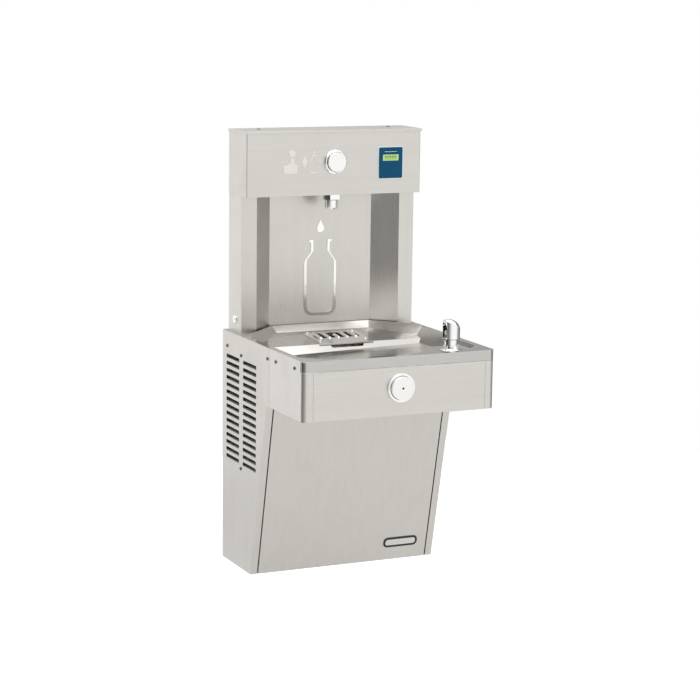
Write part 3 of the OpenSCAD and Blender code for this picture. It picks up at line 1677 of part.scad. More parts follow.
back_frame();
base_pan();
side_left();
side_right();
side_rails();
panel_screws();
lower_front();
badge_plate();
apron();
basin();
drain_grate();
grate_screws();
bubbler_base();
bubbler_hood();
bubbler_nut();
tailpiece();
drain_trap();
trap_nuts();
push_bezel();
push_button();
push_spring();
regulator_valve();
valve_stem();
compressor();
compressor_feet();
condenser();
fan_shroud();
fan_blade();
fan_motor();
cooling_tank();
refrigerant_lines();
filter_drier();
filter_head();
filter_cartridge();
water_lines();
inlet_fitting();
thermostat();
thermostat_knob();
junction_box();
tower_back();
upright_left();
upright_right();
alcove_liner();
lock_housing();
lock_plug();
hood_shell();
hood_cap();
cap_screws();
hood_floor();
fill_ring();
fill_button();
fill_spring();
fill_switch();
switch_plunger();
display_panel();
display_lens();
control_board();
nozzle();
nozzle_nut();
solenoid_valve();
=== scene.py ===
import json
import math
import bmesh
import bpy
from mathutils import Matrix, Vector

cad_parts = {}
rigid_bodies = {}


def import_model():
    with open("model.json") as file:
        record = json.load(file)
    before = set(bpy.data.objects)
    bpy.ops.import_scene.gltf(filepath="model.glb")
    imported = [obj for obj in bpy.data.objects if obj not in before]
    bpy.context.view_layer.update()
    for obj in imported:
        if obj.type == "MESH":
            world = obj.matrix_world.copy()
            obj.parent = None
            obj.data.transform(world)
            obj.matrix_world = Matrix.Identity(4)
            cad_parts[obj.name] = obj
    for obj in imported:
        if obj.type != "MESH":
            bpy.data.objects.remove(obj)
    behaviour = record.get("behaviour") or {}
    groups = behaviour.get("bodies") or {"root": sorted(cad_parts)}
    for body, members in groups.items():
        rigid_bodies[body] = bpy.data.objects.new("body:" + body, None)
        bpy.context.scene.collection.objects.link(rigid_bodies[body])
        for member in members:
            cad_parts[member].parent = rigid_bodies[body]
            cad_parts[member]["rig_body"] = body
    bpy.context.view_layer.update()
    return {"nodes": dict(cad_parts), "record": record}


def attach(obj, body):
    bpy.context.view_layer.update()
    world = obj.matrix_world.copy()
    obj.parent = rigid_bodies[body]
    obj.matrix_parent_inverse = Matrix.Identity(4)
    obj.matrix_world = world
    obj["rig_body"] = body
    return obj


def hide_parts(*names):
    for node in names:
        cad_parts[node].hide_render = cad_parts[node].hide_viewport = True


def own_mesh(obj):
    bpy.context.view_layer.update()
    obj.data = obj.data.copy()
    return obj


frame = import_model()
cad = frame["nodes"]
print("frame loaded:", len(cad), "nodes")

# The drawing counts millimetres up from the cabinet's bottom, the frame metres from the wall mount
mountZ = 300
perMetre = 1000


def at(x, y, z):
    return Vector((x, y, z - mountZ)) / perMetre


# Camera: the photograph's place, aim and lens
cameraSet = {
    "place": (-2033.5, -4605.5, 1367.5),
    "yaw": 0.4329,
    "pitch": -0.1736,
    "roll": 0.0129,
    "lens": 109.92,
    "sensor": 36,
    "farthest": 60,
}


def makeCamera(cfg):
    yaw, pitch, roll = cfg["yaw"], cfg["pitch"], cfg["roll"]
    ahead = Vector((math.sin(yaw) * math.cos(pitch), math.cos(yaw) * math.cos(pitch), math.sin(pitch)))
    right = Vector((math.cos(yaw), -math.sin(yaw), 0))
    up = right.cross(ahead)
    rolledRight = math.cos(roll) * right + math.sin(roll) * up
    rolledUp = -math.sin(roll) * right + math.cos(roll) * up
    data = bpy.data.cameras.new("photoCamera")
    data.lens = cfg["lens"]
    data.sensor_width = cfg["sensor"]
    data.clip_end = cfg["farthest"]
    camera = bpy.data.objects.new("photoCamera", data)
    turn = Matrix((rolledRight, rolledUp, -ahead)).transposed()
    camera.matrix_world = Matrix.Translation(at(*cfg["place"])) @ turn.to_4x4()
    bpy.context.scene.collection.objects.link(camera)
    bpy.context.scene.camera = camera


makeCamera(cameraSet)


# Shader helpers
def addNode(tree, kind, values=None, links=None, **settings):
    made = tree.nodes.new(kind)
    for key, value in settings.items():
        setattr(made, key, value)
    for key, value in (values or {}).items():
        made.inputs[key].default_value = value
    for key, source in (links or {}).items():
        tree.links.new(source, made.inputs[key])
    return made


def newGroup(name, inputs, outputs):
    tree = bpy.data.node_groups.new(name, "ShaderNodeTree")
    for label, kind, value in inputs:
        socket = tree.interface.new_socket(label, in_out="INPUT", socket_type=kind)
        socket.default_value = value
    for label, kind in outputs:
        tree.interface.new_socket(label, in_out="OUTPUT", socket_type=kind)
    return tree, tree.nodes.new("NodeGroupInput").outputs, tree.nodes.new("NodeGroupOutput").inputs


def mapped(tree, value, low, high, outLow=0.0, outHigh=1.0, smooth=False):
    limits = {"From Min": low, "From Max": high, "To Min": outLow, "To Max": outHigh}
    made = addNode(tree, "ShaderNodeMapRange", limits, {"Value": value},
                   interpolation_type="SMOOTHSTEP" if smooth else "LINEAR")
    return made.outputs["Result"]


def math2(tree, operation, first, second):
    made = tree.nodes.new("ShaderNodeMath")
    made.operation = operation
    for index, source in enumerate((first, second)):
        if isinstance(source, (int, float)):
            made.inputs[index].default_value = source
        else:
            tree.links.new(source, made.inputs[index])
    return made.outputs[0]


def product(tree, first, *others):
    for other in others:
        first = math2(tree, "MULTIPLY", first, other)
    return first


def total(tree, first, *others):
    for other in others:
        first = math2(tree, "ADD", first, other)
    return first


def objectPlace(tree):
    return tree.nodes.new("ShaderNodeTexCoord").outputs["Object"]


def faceNormal(tree):
    return tree.nodes.new("ShaderNodeNewGeometry").outputs["Normal"]


# The normal as it would be with the mesh's edges rounded to a radius
edgeSamples = 4


def roundedNormal(tree, radius):
    return addNode(tree, "ShaderNodeBevel", None, {"Radius": radius}, samples=edgeSamples).outputs["Normal"]


def bumped(tree, height, distance, normal):
    links = {"Height": height, "Distance": distance, "Normal": normal}
    return addNode(tree, "ShaderNodeBump", {"Strength": 1.0}, links).outputs["Normal"]


# Grain of rolled and brushed sheet: long fine scratches, slow clouds and softly rounded edges
grainSet = {"stretch": (20.0, 900.0, 900.0), "depth": 0.00002, "edge": 0.0008, "detail": 3.0, "rough": 0.6,
            "cloudScale": 0.06, "cloudDetail": 2.0}


def makeGrainGroup(cfg):
    tree, given, out = newGroup("brushedGrain", [
        ("Stretch", "NodeSocketVector", cfg["stretch"]),
        ("Depth", "NodeSocketFloat", cfg["depth"]),
        ("Edge", "NodeSocketFloat", cfg["edge"]),
    ], [("Grain", "NodeSocketFloat"), ("Cloud", "NodeSocketFloat"), ("Normal", "NodeSocketVector")])
    pulled = addNode(tree, "ShaderNodeVectorMath", None, {0: objectPlace(tree), 1: given["Stretch"]},
                     operation="MULTIPLY").outputs[0]
    fine = addNode(tree, "ShaderNodeTexNoise",
                   {"Scale": 1.0, "Detail": cfg["detail"], "Roughness": cfg["rough"]}, {"Vector": pulled})
    slow = addNode(tree, "ShaderNodeTexNoise",
                   {"Scale": cfg["cloudScale"], "Detail": cfg["cloudDetail"]}, {"Vector": pulled})
    normal = bumped(tree, fine.outputs["Fac"], given["Depth"], roundedNormal(tree, given["Edge"]))
    tree.links.new(fine.outputs["Fac"], out["Grain"])
    tree.links.new(slow.outputs["Fac"], out["Cloud"])
    tree.links.new(normal, out["Normal"])
    return tree


# Wear along edges: where the rounded normal leaves the true one, broken up by noise
wearSet = {"reach": 0.0015, "patches": 60.0, "detail": 3.0, "edge": (0.995, 0.9), "broken": (0.42, 0.58)}


def makeWearGroup(cfg):
    tree, given, out = newGroup("edgeWear", [
        ("Reach", "NodeSocketFloat", cfg["reach"]), ("Patches", "NodeSocketFloat", cfg["patches"]),
    ], [("Mask", "NodeSocketFloat")])
    near = addNode(tree, "ShaderNodeVectorMath", None,
                   {0: roundedNormal(tree, given["Reach"]), 1: faceNormal(tree)}, operation="DOT_PRODUCT")
    patches = addNode(tree, "ShaderNodeTexNoise", {"Detail": cfg["detail"]},
                      {"Vector": objectPlace(tree), "Scale": given["Patches"]})
    edge = mapped(tree, near.outputs["Value"], *cfg["edge"])
    broken = mapped(tree, patches.outputs["Fac"], *cfg["broken"])
    tree.links.new(product(tree, edge, broken), out["Mask"])
    return tree


# Hand marks and dried water: soft blotches with finer spots inside them
smudgeSet = {"size": 9.0, "spots": 120.0, "detail": 4.0, "distortion": 0.6, "blotch": (0.45, 0.7),
             "spot": (0.22, 0.12)}


def makeSmudgeGroup(cfg):
    tree, given, out = newGroup("handMarks", [
        ("Size", "NodeSocketFloat", cfg["size"]), ("Spots", "NodeSocketFloat", cfg["spots"]),
    ], [("Mask", "NodeSocketFloat"), ("Spots", "NodeSocketFloat")])
    place = objectPlace(tree)
    broad = addNode(tree, "ShaderNodeTexNoise", {"Detail": cfg["detail"], "Distortion": cfg["distortion"]},
                    {"Vector": place, "Scale": given["Size"]})
    drops = addNode(tree, "ShaderNodeTexVoronoi", None, {"Vector": place, "Scale": given["Spots"]})
    tree.links.new(mapped(tree, broad.outputs["Fac"], *cfg["blotch"], smooth=True), out["Mask"])
    tree.links.new(mapped(tree, drops.outputs["Distance"], *cfg["spot"]), out["Spots"])
    return tree


# Dust that settles on faces that look up
dustSet = {"amount": 0.5, "size": 40.0, "detail": 5.0, "facing": (0.5, 1.0), "drift": (0.35, 0.75)}


def makeDustGroup(cfg):
    tree, given, out = newGroup("settledDust", [
        ("Amount", "NodeSocketFloat", cfg["amount"]), ("Size", "NodeSocketFloat", cfg["size"]),
    ], [("Mask", "NodeSocketFloat")])
    up = addNode(tree, "ShaderNodeSeparateXYZ", None, {0: faceNormal(tree)})
    drift = addNode(tree, "ShaderNodeTexNoise", {"Detail": cfg["detail"]},
                    {"Vector": objectPlace(tree), "Scale": given["Size"]})
    lying = mapped(tree, up.outputs["Z"], *cfg["facing"], smooth=True)
    thin = mapped(tree, drift.outputs["Fac"], *cfg["drift"])
    tree.links.new(product(tree, lying, thin, given["Amount"]), out["Mask"])
    return tree


# Skin of moulded plastic, paint and castings: fine pits and a slow mottle
skinSet = {"pits": 900.0, "depth": 0.00003, "edge": 0.0006, "pitDetail": 2.0, "mottle": 30.0,
           "mottleDetail": 3.0}


def makeSkinGroup(cfg):
    tree, given, out = newGroup("mouldedSkin", [
        ("Pits", "NodeSocketFloat", cfg["pits"]),
        ("Depth", "NodeSocketFloat", cfg["depth"]),
        ("Edge", "NodeSocketFloat", cfg["edge"]),
    ], [("Mottle", "NodeSocketFloat"), ("Normal", "NodeSocketVector")])
    place = objectPlace(tree)
    pits = addNode(tree, "ShaderNodeTexNoise", {"Detail": cfg["pitDetail"]},
                   {"Vector": place, "Scale": given["Pits"]})
    mottle = addNode(tree, "ShaderNodeTexNoise", {"Scale": cfg["mottle"], "Detail": cfg["mottleDetail"]},
                     {"Vector": place})
    normal = bumped(tree, pits.outputs["Fac"], given["Depth"], roundedNormal(tree, given["Edge"]))
    tree.links.new(mottle.outputs["Fac"], out["Mottle"])
    tree.links.new(normal, out["Normal"])
    return tree


grainGroup = makeGrainGroup(grainSet)
wearGroup = makeWearGroup(wearSet)
smudgeGroup = makeSmudgeGroup(smudgeSet)
dustGroup = makeDustGroup(dustSet)
skinGroup = makeSkinGroup(skinSet)
print("shader groups made")


def useGroup(tree, group, values=None):
    made = tree.nodes.new("ShaderNodeGroup")
    made.node_tree = group
    for key, value in (values or {}).items():
        made.inputs[key].default_value = value
    return made.outputs


# The mix node keeps its colour sockets at these places
mixFactor, mixFirst, mixSecond, mixResult = 0, 6, 7, 2


def blended(tree, mask, first, second):
    made = tree.nodes.new("ShaderNodeMix")
    made.data_type = "RGBA"
    for place, source in ((mixFactor, mask), (mixFirst, first), (mixSecond, second)):
        socket = made.inputs[place]
        if isinstance(source, (tuple, list)):
            socket.default_value = (*source, 1.0)
        elif isinstance(source, (int, float)):
            socket.default_value = source
        else:
            tree.links.new(source, socket)
    return made.outputs[mixResult]


def newMaterial(name, **sockets):
    made = bpy.data.materials.new(name)
    made.use_nodes = True
    shader = made.node_tree.nodes["Principled BSDF"]
    for key, value in sockets.items():
        shader.inputs[key.replace("_", " ")].default_value = value
    return made, made.node_tree, shader


def shade(color, amount):
    return tuple(min(channel * amount, 1.0) for channel in color)


def wired(tree, shader, color, gloss, normal):
    for key, source in (("Base Color", color), ("Roughness", gloss), ("Normal", normal)):
        tree.links.new(source, shader.inputs[key])


# Brushed stainless and other sheet: the grain drives colour, gloss and bump
noiseSpan = (0.3, 0.7)
sheetSet = {"cloudSpan": (0.35, 0.65), "cloudShare": 0.35, "cloudShade": 0.93, "wornShade": 1.3,
            "swing": 0.04, "dustColor": (0.42, 0.4, 0.37), "dustGloss": 0.4}


def makeSheet(name, color, rough, stretch, depth=0.00001, contrast=0.08, marks=0.05, wear=0.25, dust=0.0,
              spots=0.0, edge=0.0008):
    cfg = sheetSet
    made, tree, shader = newMaterial(name, Metallic=1.0)
    grain = useGroup(tree, grainGroup, {"Stretch": stretch, "Depth": depth, "Edge": edge})
    blot = useGroup(tree, smudgeGroup)
    wearAndShade = useGroup(tree, wearGroup)
    line = mapped(tree, grain["Grain"], *noiseSpan)
    tone = blended(tree, line, shade(color, 1 - contrast), shade(color, 1 + contrast))
    cloud = mapped(tree, grain["Cloud"], *cfg["cloudSpan"], 0.0, cfg["cloudShare"])
    cloudy = blended(tree, cloud, tone, shade(color, cfg["cloudShade"]))
    bright = blended(tree, product(tree, wearAndShade["Mask"], wear), cloudy, shade(color, cfg["wornShade"]))
    gloss = total(tree, mapped(tree, grain["Grain"], *noiseSpan, rough - cfg["swing"], rough + cfg["swing"]),
                  product(tree, blot["Mask"], marks))
    if spots:
        gloss = total(tree, gloss, product(tree, blot["Spots"], blot["Mask"], spots))
    if dust:
        lying = useGroup(tree, dustGroup, {"Amount": dust})["Mask"]
        bright = blended(tree, lying, bright, cfg["dustColor"])
        gloss = total(tree, gloss, product(tree, lying, cfg["dustGloss"]))
    wired(tree, shader, bright, gloss, grain["Normal"])
    return made


# Polished relief with painted shade: its colour darkens toward its lower end, between two heights in metres
heightShadeSet = {"depth": 0.000002, "edge": 0.0006, "stray": 0.01, "swing": 0.03}


def makeHeightShaded(name, lower, upper, heights, rough):
    cfg = heightShadeSet
    made, tree, shader = newMaterial(name, Metallic=1.0)
    grain = useGroup(tree, grainGroup, {"Depth": cfg["depth"], "Edge": cfg["edge"]})
    height = addNode(tree, "ShaderNodeSeparateXYZ", None, {0: objectPlace(tree)})
    strays = mapped(tree, grain["Cloud"], *noiseSpan, -cfg["stray"], cfg["stray"])
    # Height plus a little noise: where the painted shade takes over low down
    wearAndShade = total(tree, height.outputs["Z"], strays)
    tone = blended(tree, mapped(tree, wearAndShade, *heights, smooth=True), lower, upper)
    gloss = mapped(tree, grain["Grain"], *noiseSpan, rough - cfg["swing"], rough + cfg["swing"])
    wired(tree, shader, tone, gloss, grain["Normal"])
    return made


# Paint, plastic, rubber and foam
mouldedSet = {"mottleSpan": (0.35, 0.65), "dark": 0.92, "light": 1.06, "bare": (0.5, 0.5, 0.5), "swing": 0.03,
              "marks": 0.06, "edge": 0.0006, "dustColor": (0.4, 0.38, 0.35), "dustGloss": 0.3}


def makeSkin(name, color, rough, pits=900.0, depth=0.00002, dust=0.15, wear=0.0, marks=mouldedSet["marks"],
             **sockets):
    cfg = mouldedSet
    made, tree, shader = newMaterial(name, **sockets)
    skin = useGroup(tree, skinGroup, {"Pits": pits, "Depth": depth, "Edge": cfg["edge"]})
    blot = useGroup(tree, smudgeGroup)
    lying = useGroup(tree, dustGroup, {"Amount": dust})["Mask"]
    mottle = mapped(tree, skin["Mottle"], *cfg["mottleSpan"])
    tone = blended(tree, mottle, shade(color, cfg["dark"]), shade(color, cfg["light"]))
    if wear:
        wearAndShade = useGroup(tree, wearGroup)
        tone = blended(tree, product(tree, wearAndShade["Mask"], wear), tone, cfg["bare"])
    tone = blended(tree, lying, tone, cfg["dustColor"])
    gloss = total(tree, mapped(tree, skin["Mottle"], *noiseSpan, rough - cfg["swing"], rough + cfg["swing"]),
                  product(tree, blot["Mask"], marks), product(tree, lying, cfg["dustGloss"]))
    wired(tree, shader, tone, gloss, skin["Normal"])
    return made


# Which way the grain runs: few waves per metre along it, many across it; or the same all ways
alongX, alongY, alongZ = (14.0, 1100.0, 1100.0), (1100.0, 14.0, 1100.0), (1100.0, 1100.0, 14.0)


def evenly(waves):
    return (waves, waves, waves)


materials = {
    "body": makeSheet("bodySteel", (0.615, 0.592, 0.562), 0.32, alongZ, contrast=0.05),
    "apron": makeSheet("apronSteel", (0.635, 0.612, 0.582), 0.3, alongX, contrast=0.05),
    "tower": makeSheet("towerSteel", (0.625, 0.602, 0.572), 0.3, alongZ, contrast=0.05),
    "hood": makeSheet("hoodSteel", (0.635, 0.612, 0.582), 0.34, alongX, contrast=0.05, dust=0.1),
    "basin": makeSheet("basinSteel", (0.52, 0.508, 0.49), 0.16, alongX, marks=0.08, spots=0.1, contrast=0.04),
    "etched": makeSheet("etchedSteel", (0.745, 0.722, 0.69), 0.34, alongX, contrast=0.02, marks=0.0,
                        wear=0.0),
    # Bottle relief: polished steel with painted shade, dark below and bright above the given heights
    "polished": makeHeightShaded("polishedSteelPaintedShade", (0.4, 0.385, 0.365), (0.93, 0.92, 0.9), (0.285, 0.36), 0.22),
    "chassis": makeSheet("zincSheet", (0.50, 0.51, 0.52), 0.42, evenly(30.0), contrast=0.14, dust=0.2),
    "chrome": makeSheet("chromePlate", (0.88, 0.88, 0.875), 0.05, evenly(60.0), depth=0.0, contrast=0.02,
                        marks=0.04, wear=0.0, edge=0.0007),
    "darkScrew": makeSheet("darkScrew", (0.16, 0.155, 0.15), 0.38, evenly(300.0), contrast=0.15, wear=0.6),
    "brightScrew": makeSheet("brightScrew", (0.72, 0.71, 0.69), 0.2, evenly(300.0)),
    "button": makeSheet("buttonFace", (0.86, 0.855, 0.845), 0.26, evenly(30.0), depth=0.0, contrast=0.01,
                        marks=0.03, wear=0.1),
    "spring": makeSheet("springSteel", (0.5, 0.5, 0.5), 0.3, evenly(400.0)),
    "brass": makeSheet("brass", (0.72, 0.52, 0.22), 0.3, evenly(200.0), contrast=0.12, dust=0.1),
    "copper": makeSheet("copper", (0.74, 0.36, 0.2), 0.3, evenly(60.0), contrast=0.2, marks=0.15),
    "fins": makeSheet("finAluminium", (0.55, 0.56, 0.56), 0.35, (60.0, 200.0, 14.0), contrast=0.12,
                      dust=0.25),
    "blackPaint": makeSkin("blackPaint", (0.02, 0.02, 0.021), 0.3, pits=260.0, depth=0.00012, wear=0.5,
                           dust=0.3),
    "rubber": makeSkin("rubber", (0.022, 0.022, 0.022), 0.7, pits=700.0, depth=0.00005),
    "blackPlastic": makeSkin("blackPlastic", (0.014, 0.014, 0.015), 0.5, pits=1200.0, depth=0.00003),
    "whitePlastic": makeSkin("whitePlastic", (0.78, 0.78, 0.76), 0.4),
    "foam": makeSkin("tankFoam", (0.045, 0.046, 0.048), 0.85, pits=420.0, depth=0.0005, dust=0.35),
    "greyPaint": makeSkin("greyPaint", (0.36, 0.38, 0.4), 0.42, pits=500.0, depth=0.00005, wear=0.4),
    "waterTube": makeSkin("waterTube", (0.72, 0.78, 0.84), 0.28, pits=300.0, Transmission_Weight=0.35),
    "board": makeSkin("boardGreen", (0.015, 0.17, 0.06), 0.25, pits=600.0),
    "displayBlue": makeSkin("displayBlue", (0.0025, 0.063, 0.135), 0.45, pits=1500.0, depth=0.000004,
                            dust=0.0, marks=0.0, Specular_IOR_Level=0.12),
    "displayWhite": makeSkin("displayWhite", (0.66, 0.8, 0.86), 0.3, dust=0.0),
    "lcd": makeSkin("lcdGlow", (0.3, 0.47, 0.13), 0.3, dust=0.0, Emission_Color=(0.5, 0.75, 0.22, 1.0),
                    Emission_Strength=0.22),
    "ink": makeSkin("darkInk", (0.02, 0.04, 0.02), 0.4, dust=0.0),
    "grate": makeSheet("grateSteel", (0.66, 0.65, 0.63), 0.12, alongY, marks=0.06, contrast=0.03,
                       edge=0.0005),
    # Darker fine lines on the apron: painted shade of its folds
    "lineGrey": makeSheet("foldShadeLine", (0.42, 0.405, 0.38), 0.3, alongZ, contrast=0.05),
    "badge": makeSheet("badgeSteel", (0.68, 0.665, 0.64), 0.22, alongX, contrast=0.03),
}
# The frame's material slots, each with the finish that it gets
finishOf = {
    "stainless_body": "body",
    "stainless_basin": "basin",
    "stainless_tower": "tower",
    "chassis_steel": "chassis",
    "chrome_fittings": "chrome",
    "dark_screws": "darkScrew",
    "bright_screws": "brightScrew",
    "button_face": "button",
    "spring_steel": "spring",
    "brass_parts": "brass",
    "black_paint": "blackPaint",
    "rubber_feet": "rubber",
    "fin_aluminium": "fins",
    "black_plastic": "blackPlastic",
    "white_plastic": "whitePlastic",
    "tank_foam": "foam",
    "copper_tube": "copper",
    "water_tube": "waterTube",
    "grey_paint": "greyPaint",
    "display_blue": "displayBlue",
    "display_window": "lcd",
    "board_green": "board",
    "badge_metal": "badge",
}
slotOf = {part["node"]: part["material_slot"] for part in frame["record"]["subparts"]}


def finishNode(name, material):
    obj = cad[name]
    if not obj.material_slots:
        obj.data.materials.append(None)
    for slot in obj.material_slots:
        slot.link = "OBJECT"
        slot.material = material


for name, slotName in slotOf.items():
    finishNode(name, materials[finishOf[slotName]])
for name in ("hood_shell", "hood_cap", "hood_floor"):
    finishNode(name, materials["hood"])
finishNode("apron", materials["apron"])
print("CAD nodes finished")


# Mesh helpers. Sizes are millimetres in the drawing's frame, and sharp angles are degrees.
east, back, up = (1, 0, 0), (0, 1, 0), (0, 0, 1)
front, down = (0, -1, 0), (0, 0, -1)
flatWeight = 100


def addPiece(name, mesh, material, replaces=(), body="station", sharp=35, weighted=True):
    piece = bpy.data.objects.new(name, mesh)
    bpy.context.scene.collection.objects.link(piece)
    mesh.materials.clear()
    mesh.materials.append(materials[material])
    mesh.shade_smooth()
    mesh.set_sharp_from_angle(angle=math.radians(sharp))
    if weighted:
        level = piece.modifiers.new("flatFaces", "WEIGHTED_NORMAL")
        level.weight = flatWeight
        level.keep_sharp = True
    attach(piece, body)
    if replaces:
        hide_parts(*replaces)
    return piece


def bmToMesh(name, bm):
    bmesh.ops.recalc_face_normals(bm, faces=bm.faces)
    mesh = bpy.data.meshes.new(name)
    bm.to_mesh(mesh)
    bm.free()
    return mesh


# Rounds the corners of a closed line of points; a corner that is almost straight stays as it is
almostStraight = 0.01
sideShare = 0.49


def filleted(points, radius, steps=5):
    points = [Vector(p) for p in points]
    count = len(points)
    rounded = []
    for i, here in enumerate(points):
        before, after = points[i - 1] - here, points[(i + 1) % count] - here
        size = radius[i] if isinstance(radius, (list, tuple)) else radius
        angle = before.angle(after, math.pi)
        if size <= 0 or angle > math.pi - almostStraight:
            rounded.append(here)
            continue
        reach = min(size / math.tan(angle / 2), before.length * sideShare, after.length * sideShare)
        start, end = here + before.normalized() * reach, here + after.normalized() * reach
        for k in range(steps + 1):
            t = k / steps
            rounded.append(start * (1 - t) ** 2 + here * 2 * t * (1 - t) + end * t ** 2)
    return rounded


# Turns a profile of (radius, distance along the axis) about an axis; a radius under onAxis is a point
onAxis = 1e-6


def lathe(profile, base, axis, steps=64, closed=False, radiusAt=None):
    axis = Vector(axis).normalized()
    side = axis.orthogonal().normalized()
    other = axis.cross(side)
    bm = bmesh.new()
    rings = []
    for row, (radius, along) in enumerate(profile):
        middle = Vector(base) + axis * along
        if radius < onAxis:
            rings.append([bm.verts.new(at(*middle))])
            continue
        ring = []
        for k in range(steps):
            angle = 2 * math.pi * k / steps
            reach = radiusAt(row, radius, angle) if radiusAt else radius
            place = middle + side * math.cos(angle) * reach + other * math.sin(angle) * reach
            ring.append(bm.verts.new(at(*place)))
        rings.append(ring)
    pairs = list(zip(rings, rings[1:])) + ([(rings[-1], rings[0])] if closed else [])
    for low, high in pairs:
        for k in range(steps):
            n = (k + 1) % steps
            if len(low) == 1 and len(high) == 1:
                continue
            if len(low) == 1:
                bm.faces.new((low[0], high[n], high[k]))
            elif len(high) == 1:
                bm.faces.new((low[k], low[n], high[0]))
            else:
                bm.faces.new((low[k], low[n], high[n], high[k]))
    return bmToMesh("turned", bm)


def curveToMesh(data):
    holder = bpy.data.objects.new("curveHolder", data)
    bpy.context.scene.collection.objects.link(holder)
    mesh = bpy.data.meshes.new_from_object(holder.evaluated_get(bpy.context.evaluated_depsgraph_get()))
    bpy.data.objects.remove(holder)
    bpy.data.curves.remove(data)
    return mesh


# A plate with rounded edges from flat outlines; its back lies on the plane through origin
def plate(loops, depth, bevel, origin, across, rise):
    data = bpy.data.curves.new("plateLines", "CURVE")
    data.dimensions = "2D"
    data.fill_mode = "BOTH"
    data.extrude = (depth / 2 - bevel) / perMetre
    data.bevel_depth = bevel / perMetre
    data.offset = -bevel / perMetre
    data.bevel_resolution = 1
    for loop in loops:
        spline = data.splines.new("POLY")
        spline.points.add(len(loop) - 1)
        spline.use_cyclic_u = True
        for point, (u, v) in zip(spline.points, loop):
            point.co = (u / perMetre, v / perMetre, 0, 1)
    mesh = curveToMesh(data)
    across, rise = Vector(across).normalized(), Vector(rise).normalized()
    out = across.cross(rise)
    turn = Matrix((across, rise, out)).transposed().to_4x4()
    mesh.transform(Matrix.Translation(at(*origin) + out * depth / 2 / perMetre) @ turn)
    return mesh


# Outlines for plate
def rounded2d(points, radius, steps=6):
    return [(p.x, p.y) for p in filleted([(x, y, 0) for x, y in points], radius, steps)]


def box2d(x0, x1, y0, y1, radius, steps=6):
    return rounded2d([(x0, y0), (x1, y0), (x1, y1), (x0, y1)], radius, steps)


def arc2d(x, y, radius, angles):
    return [(x + radius * math.cos(angle), y + radius * math.sin(angle)) for angle in angles]


def anglesOf(first, stop, step):
    return [math.radians(angle) for angle in range(first, stop, step)]


def circle2d(x, y, radius, steps=48):
    return arc2d(x, y, radius, [2 * math.pi * k / steps for k in range(steps)])


def joined(meshes):
    bm = bmesh.new()
    for mesh in meshes:
        bm.from_mesh(mesh)
        bpy.data.meshes.remove(mesh)
    mesh = bpy.data.meshes.new("joined")
    bm.to_mesh(mesh)
    bm.free()
    return mesh


def cutOut(first, second):
    kept = bpy.data.objects.new("keeps", first)
    cutter = bpy.data.objects.new("cutter", second)
    for obj in (kept, cutter):
        bpy.context.scene.collection.objects.link(obj)
    step = kept.modifiers.new("combine", "BOOLEAN")
    step.operation = "DIFFERENCE"
    step.object = cutter
    step.solver = "EXACT"
    mesh = bpy.data.meshes.new_from_object(kept.evaluated_get(bpy.context.evaluated_depsgraph_get()))
    bpy.data.objects.remove(kept)
    bpy.data.objects.remove(cutter)
    return mesh


# A node's mesh with the corners that its faces share made one
weldReach = 1e-6


def welded(node):
    bm = bmesh.new()
    bm.from_mesh(cad[node].data)
    bmesh.ops.remove_doubles(bm, verts=bm.verts, dist=weldReach)
    return bm


# A copy of a CAD node's mesh with its flat faces joined again, and bevelled edges. Angles are degrees.
dressSet = {"flat": 0.5, "edge": 30, "sharp": 25}


def dressed(name, node, material, bevel, segments=2):
    bm = welded(node)
    bmesh.ops.dissolve_limit(bm, angle_limit=math.radians(dressSet["flat"]), verts=bm.verts, edges=bm.edges)
    piece = addPiece(name, bmToMesh(name, bm), material, (node,), cad[node]["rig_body"],
                     sharp=dressSet["sharp"], weighted=False)
    step = piece.modifiers.new("softEdges", "BEVEL")
    step.width = bevel / perMetre
    step.segments = segments
    step.limit_method = "ANGLE"
    step.angle_limit = math.radians(dressSet["edge"])
    step.harden_normals = True


# Boxes around the separate solids of a node, from left to right, in the drawing's millimetres
def looseBoxes(node):
    bm = welded(node)
    left, boxes = set(bm.verts), []
    while left:
        queue, found = [left.pop()], []
        while queue:
            vert = queue.pop()
            found.append(vert.co * perMetre + Vector((0, 0, mountZ)))
            for edge in vert.link_edges:
                other = edge.other_vert(vert)
                if other in left:
                    left.discard(other)
                    queue.append(other)
        low = Vector([min(p[i] for p in found) for i in range(3)])
        high = Vector([max(p[i] for p in found) for i in range(3)])
        boxes.append((low, high))
    bm.free()
    return sorted(boxes, key=lambda box: tuple(box[0]))


# Return springs: each wire coil stands on its sleeve
springSet = {"wire": 0.9, "turns": 6, "perTurn": 24, "sections": 3, "pressed": 0.82}


def springMesh(low, high, cfg):
    wire = cfg["wire"]
    middle, reach = (low + high) / 2, (high.x - low.x) / 2 - wire
    near, far = high.y - wire, low.y + wire
    data = bpy.data.curves.new("springWire", "CURVE")
    data.dimensions = "3D"
    data.bevel_depth = wire / perMetre
    data.bevel_resolution = cfg["sections"]
    data.use_fill_caps = True
    spline = data.splines.new("POLY")
    steps = cfg["turns"] * cfg["perTurn"]
    spline.points.add(steps)
    for k, point in enumerate(spline.points):
        angle = 2 * math.pi * k / cfg["perTurn"]
        x, z = middle.x + reach * math.cos(angle), middle.z + reach * math.sin(angle)
        point.co = (*at(x, near + (far - near) * k / steps, z), 1)
    return curveToMesh(data)


def makeSpring(name, node, cfg):
    low, high = looseBoxes(node)[0]
    piece = addPiece(name, springMesh(low, high, cfg), "spring", (node,), cad[node]["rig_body"],
                     weighted=False)
    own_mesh(piece)


makeSpring("fillSpring", "fill_spring", springSet)
makeSpring("pushSpring", "push_spring", springSet)
print("springs made")


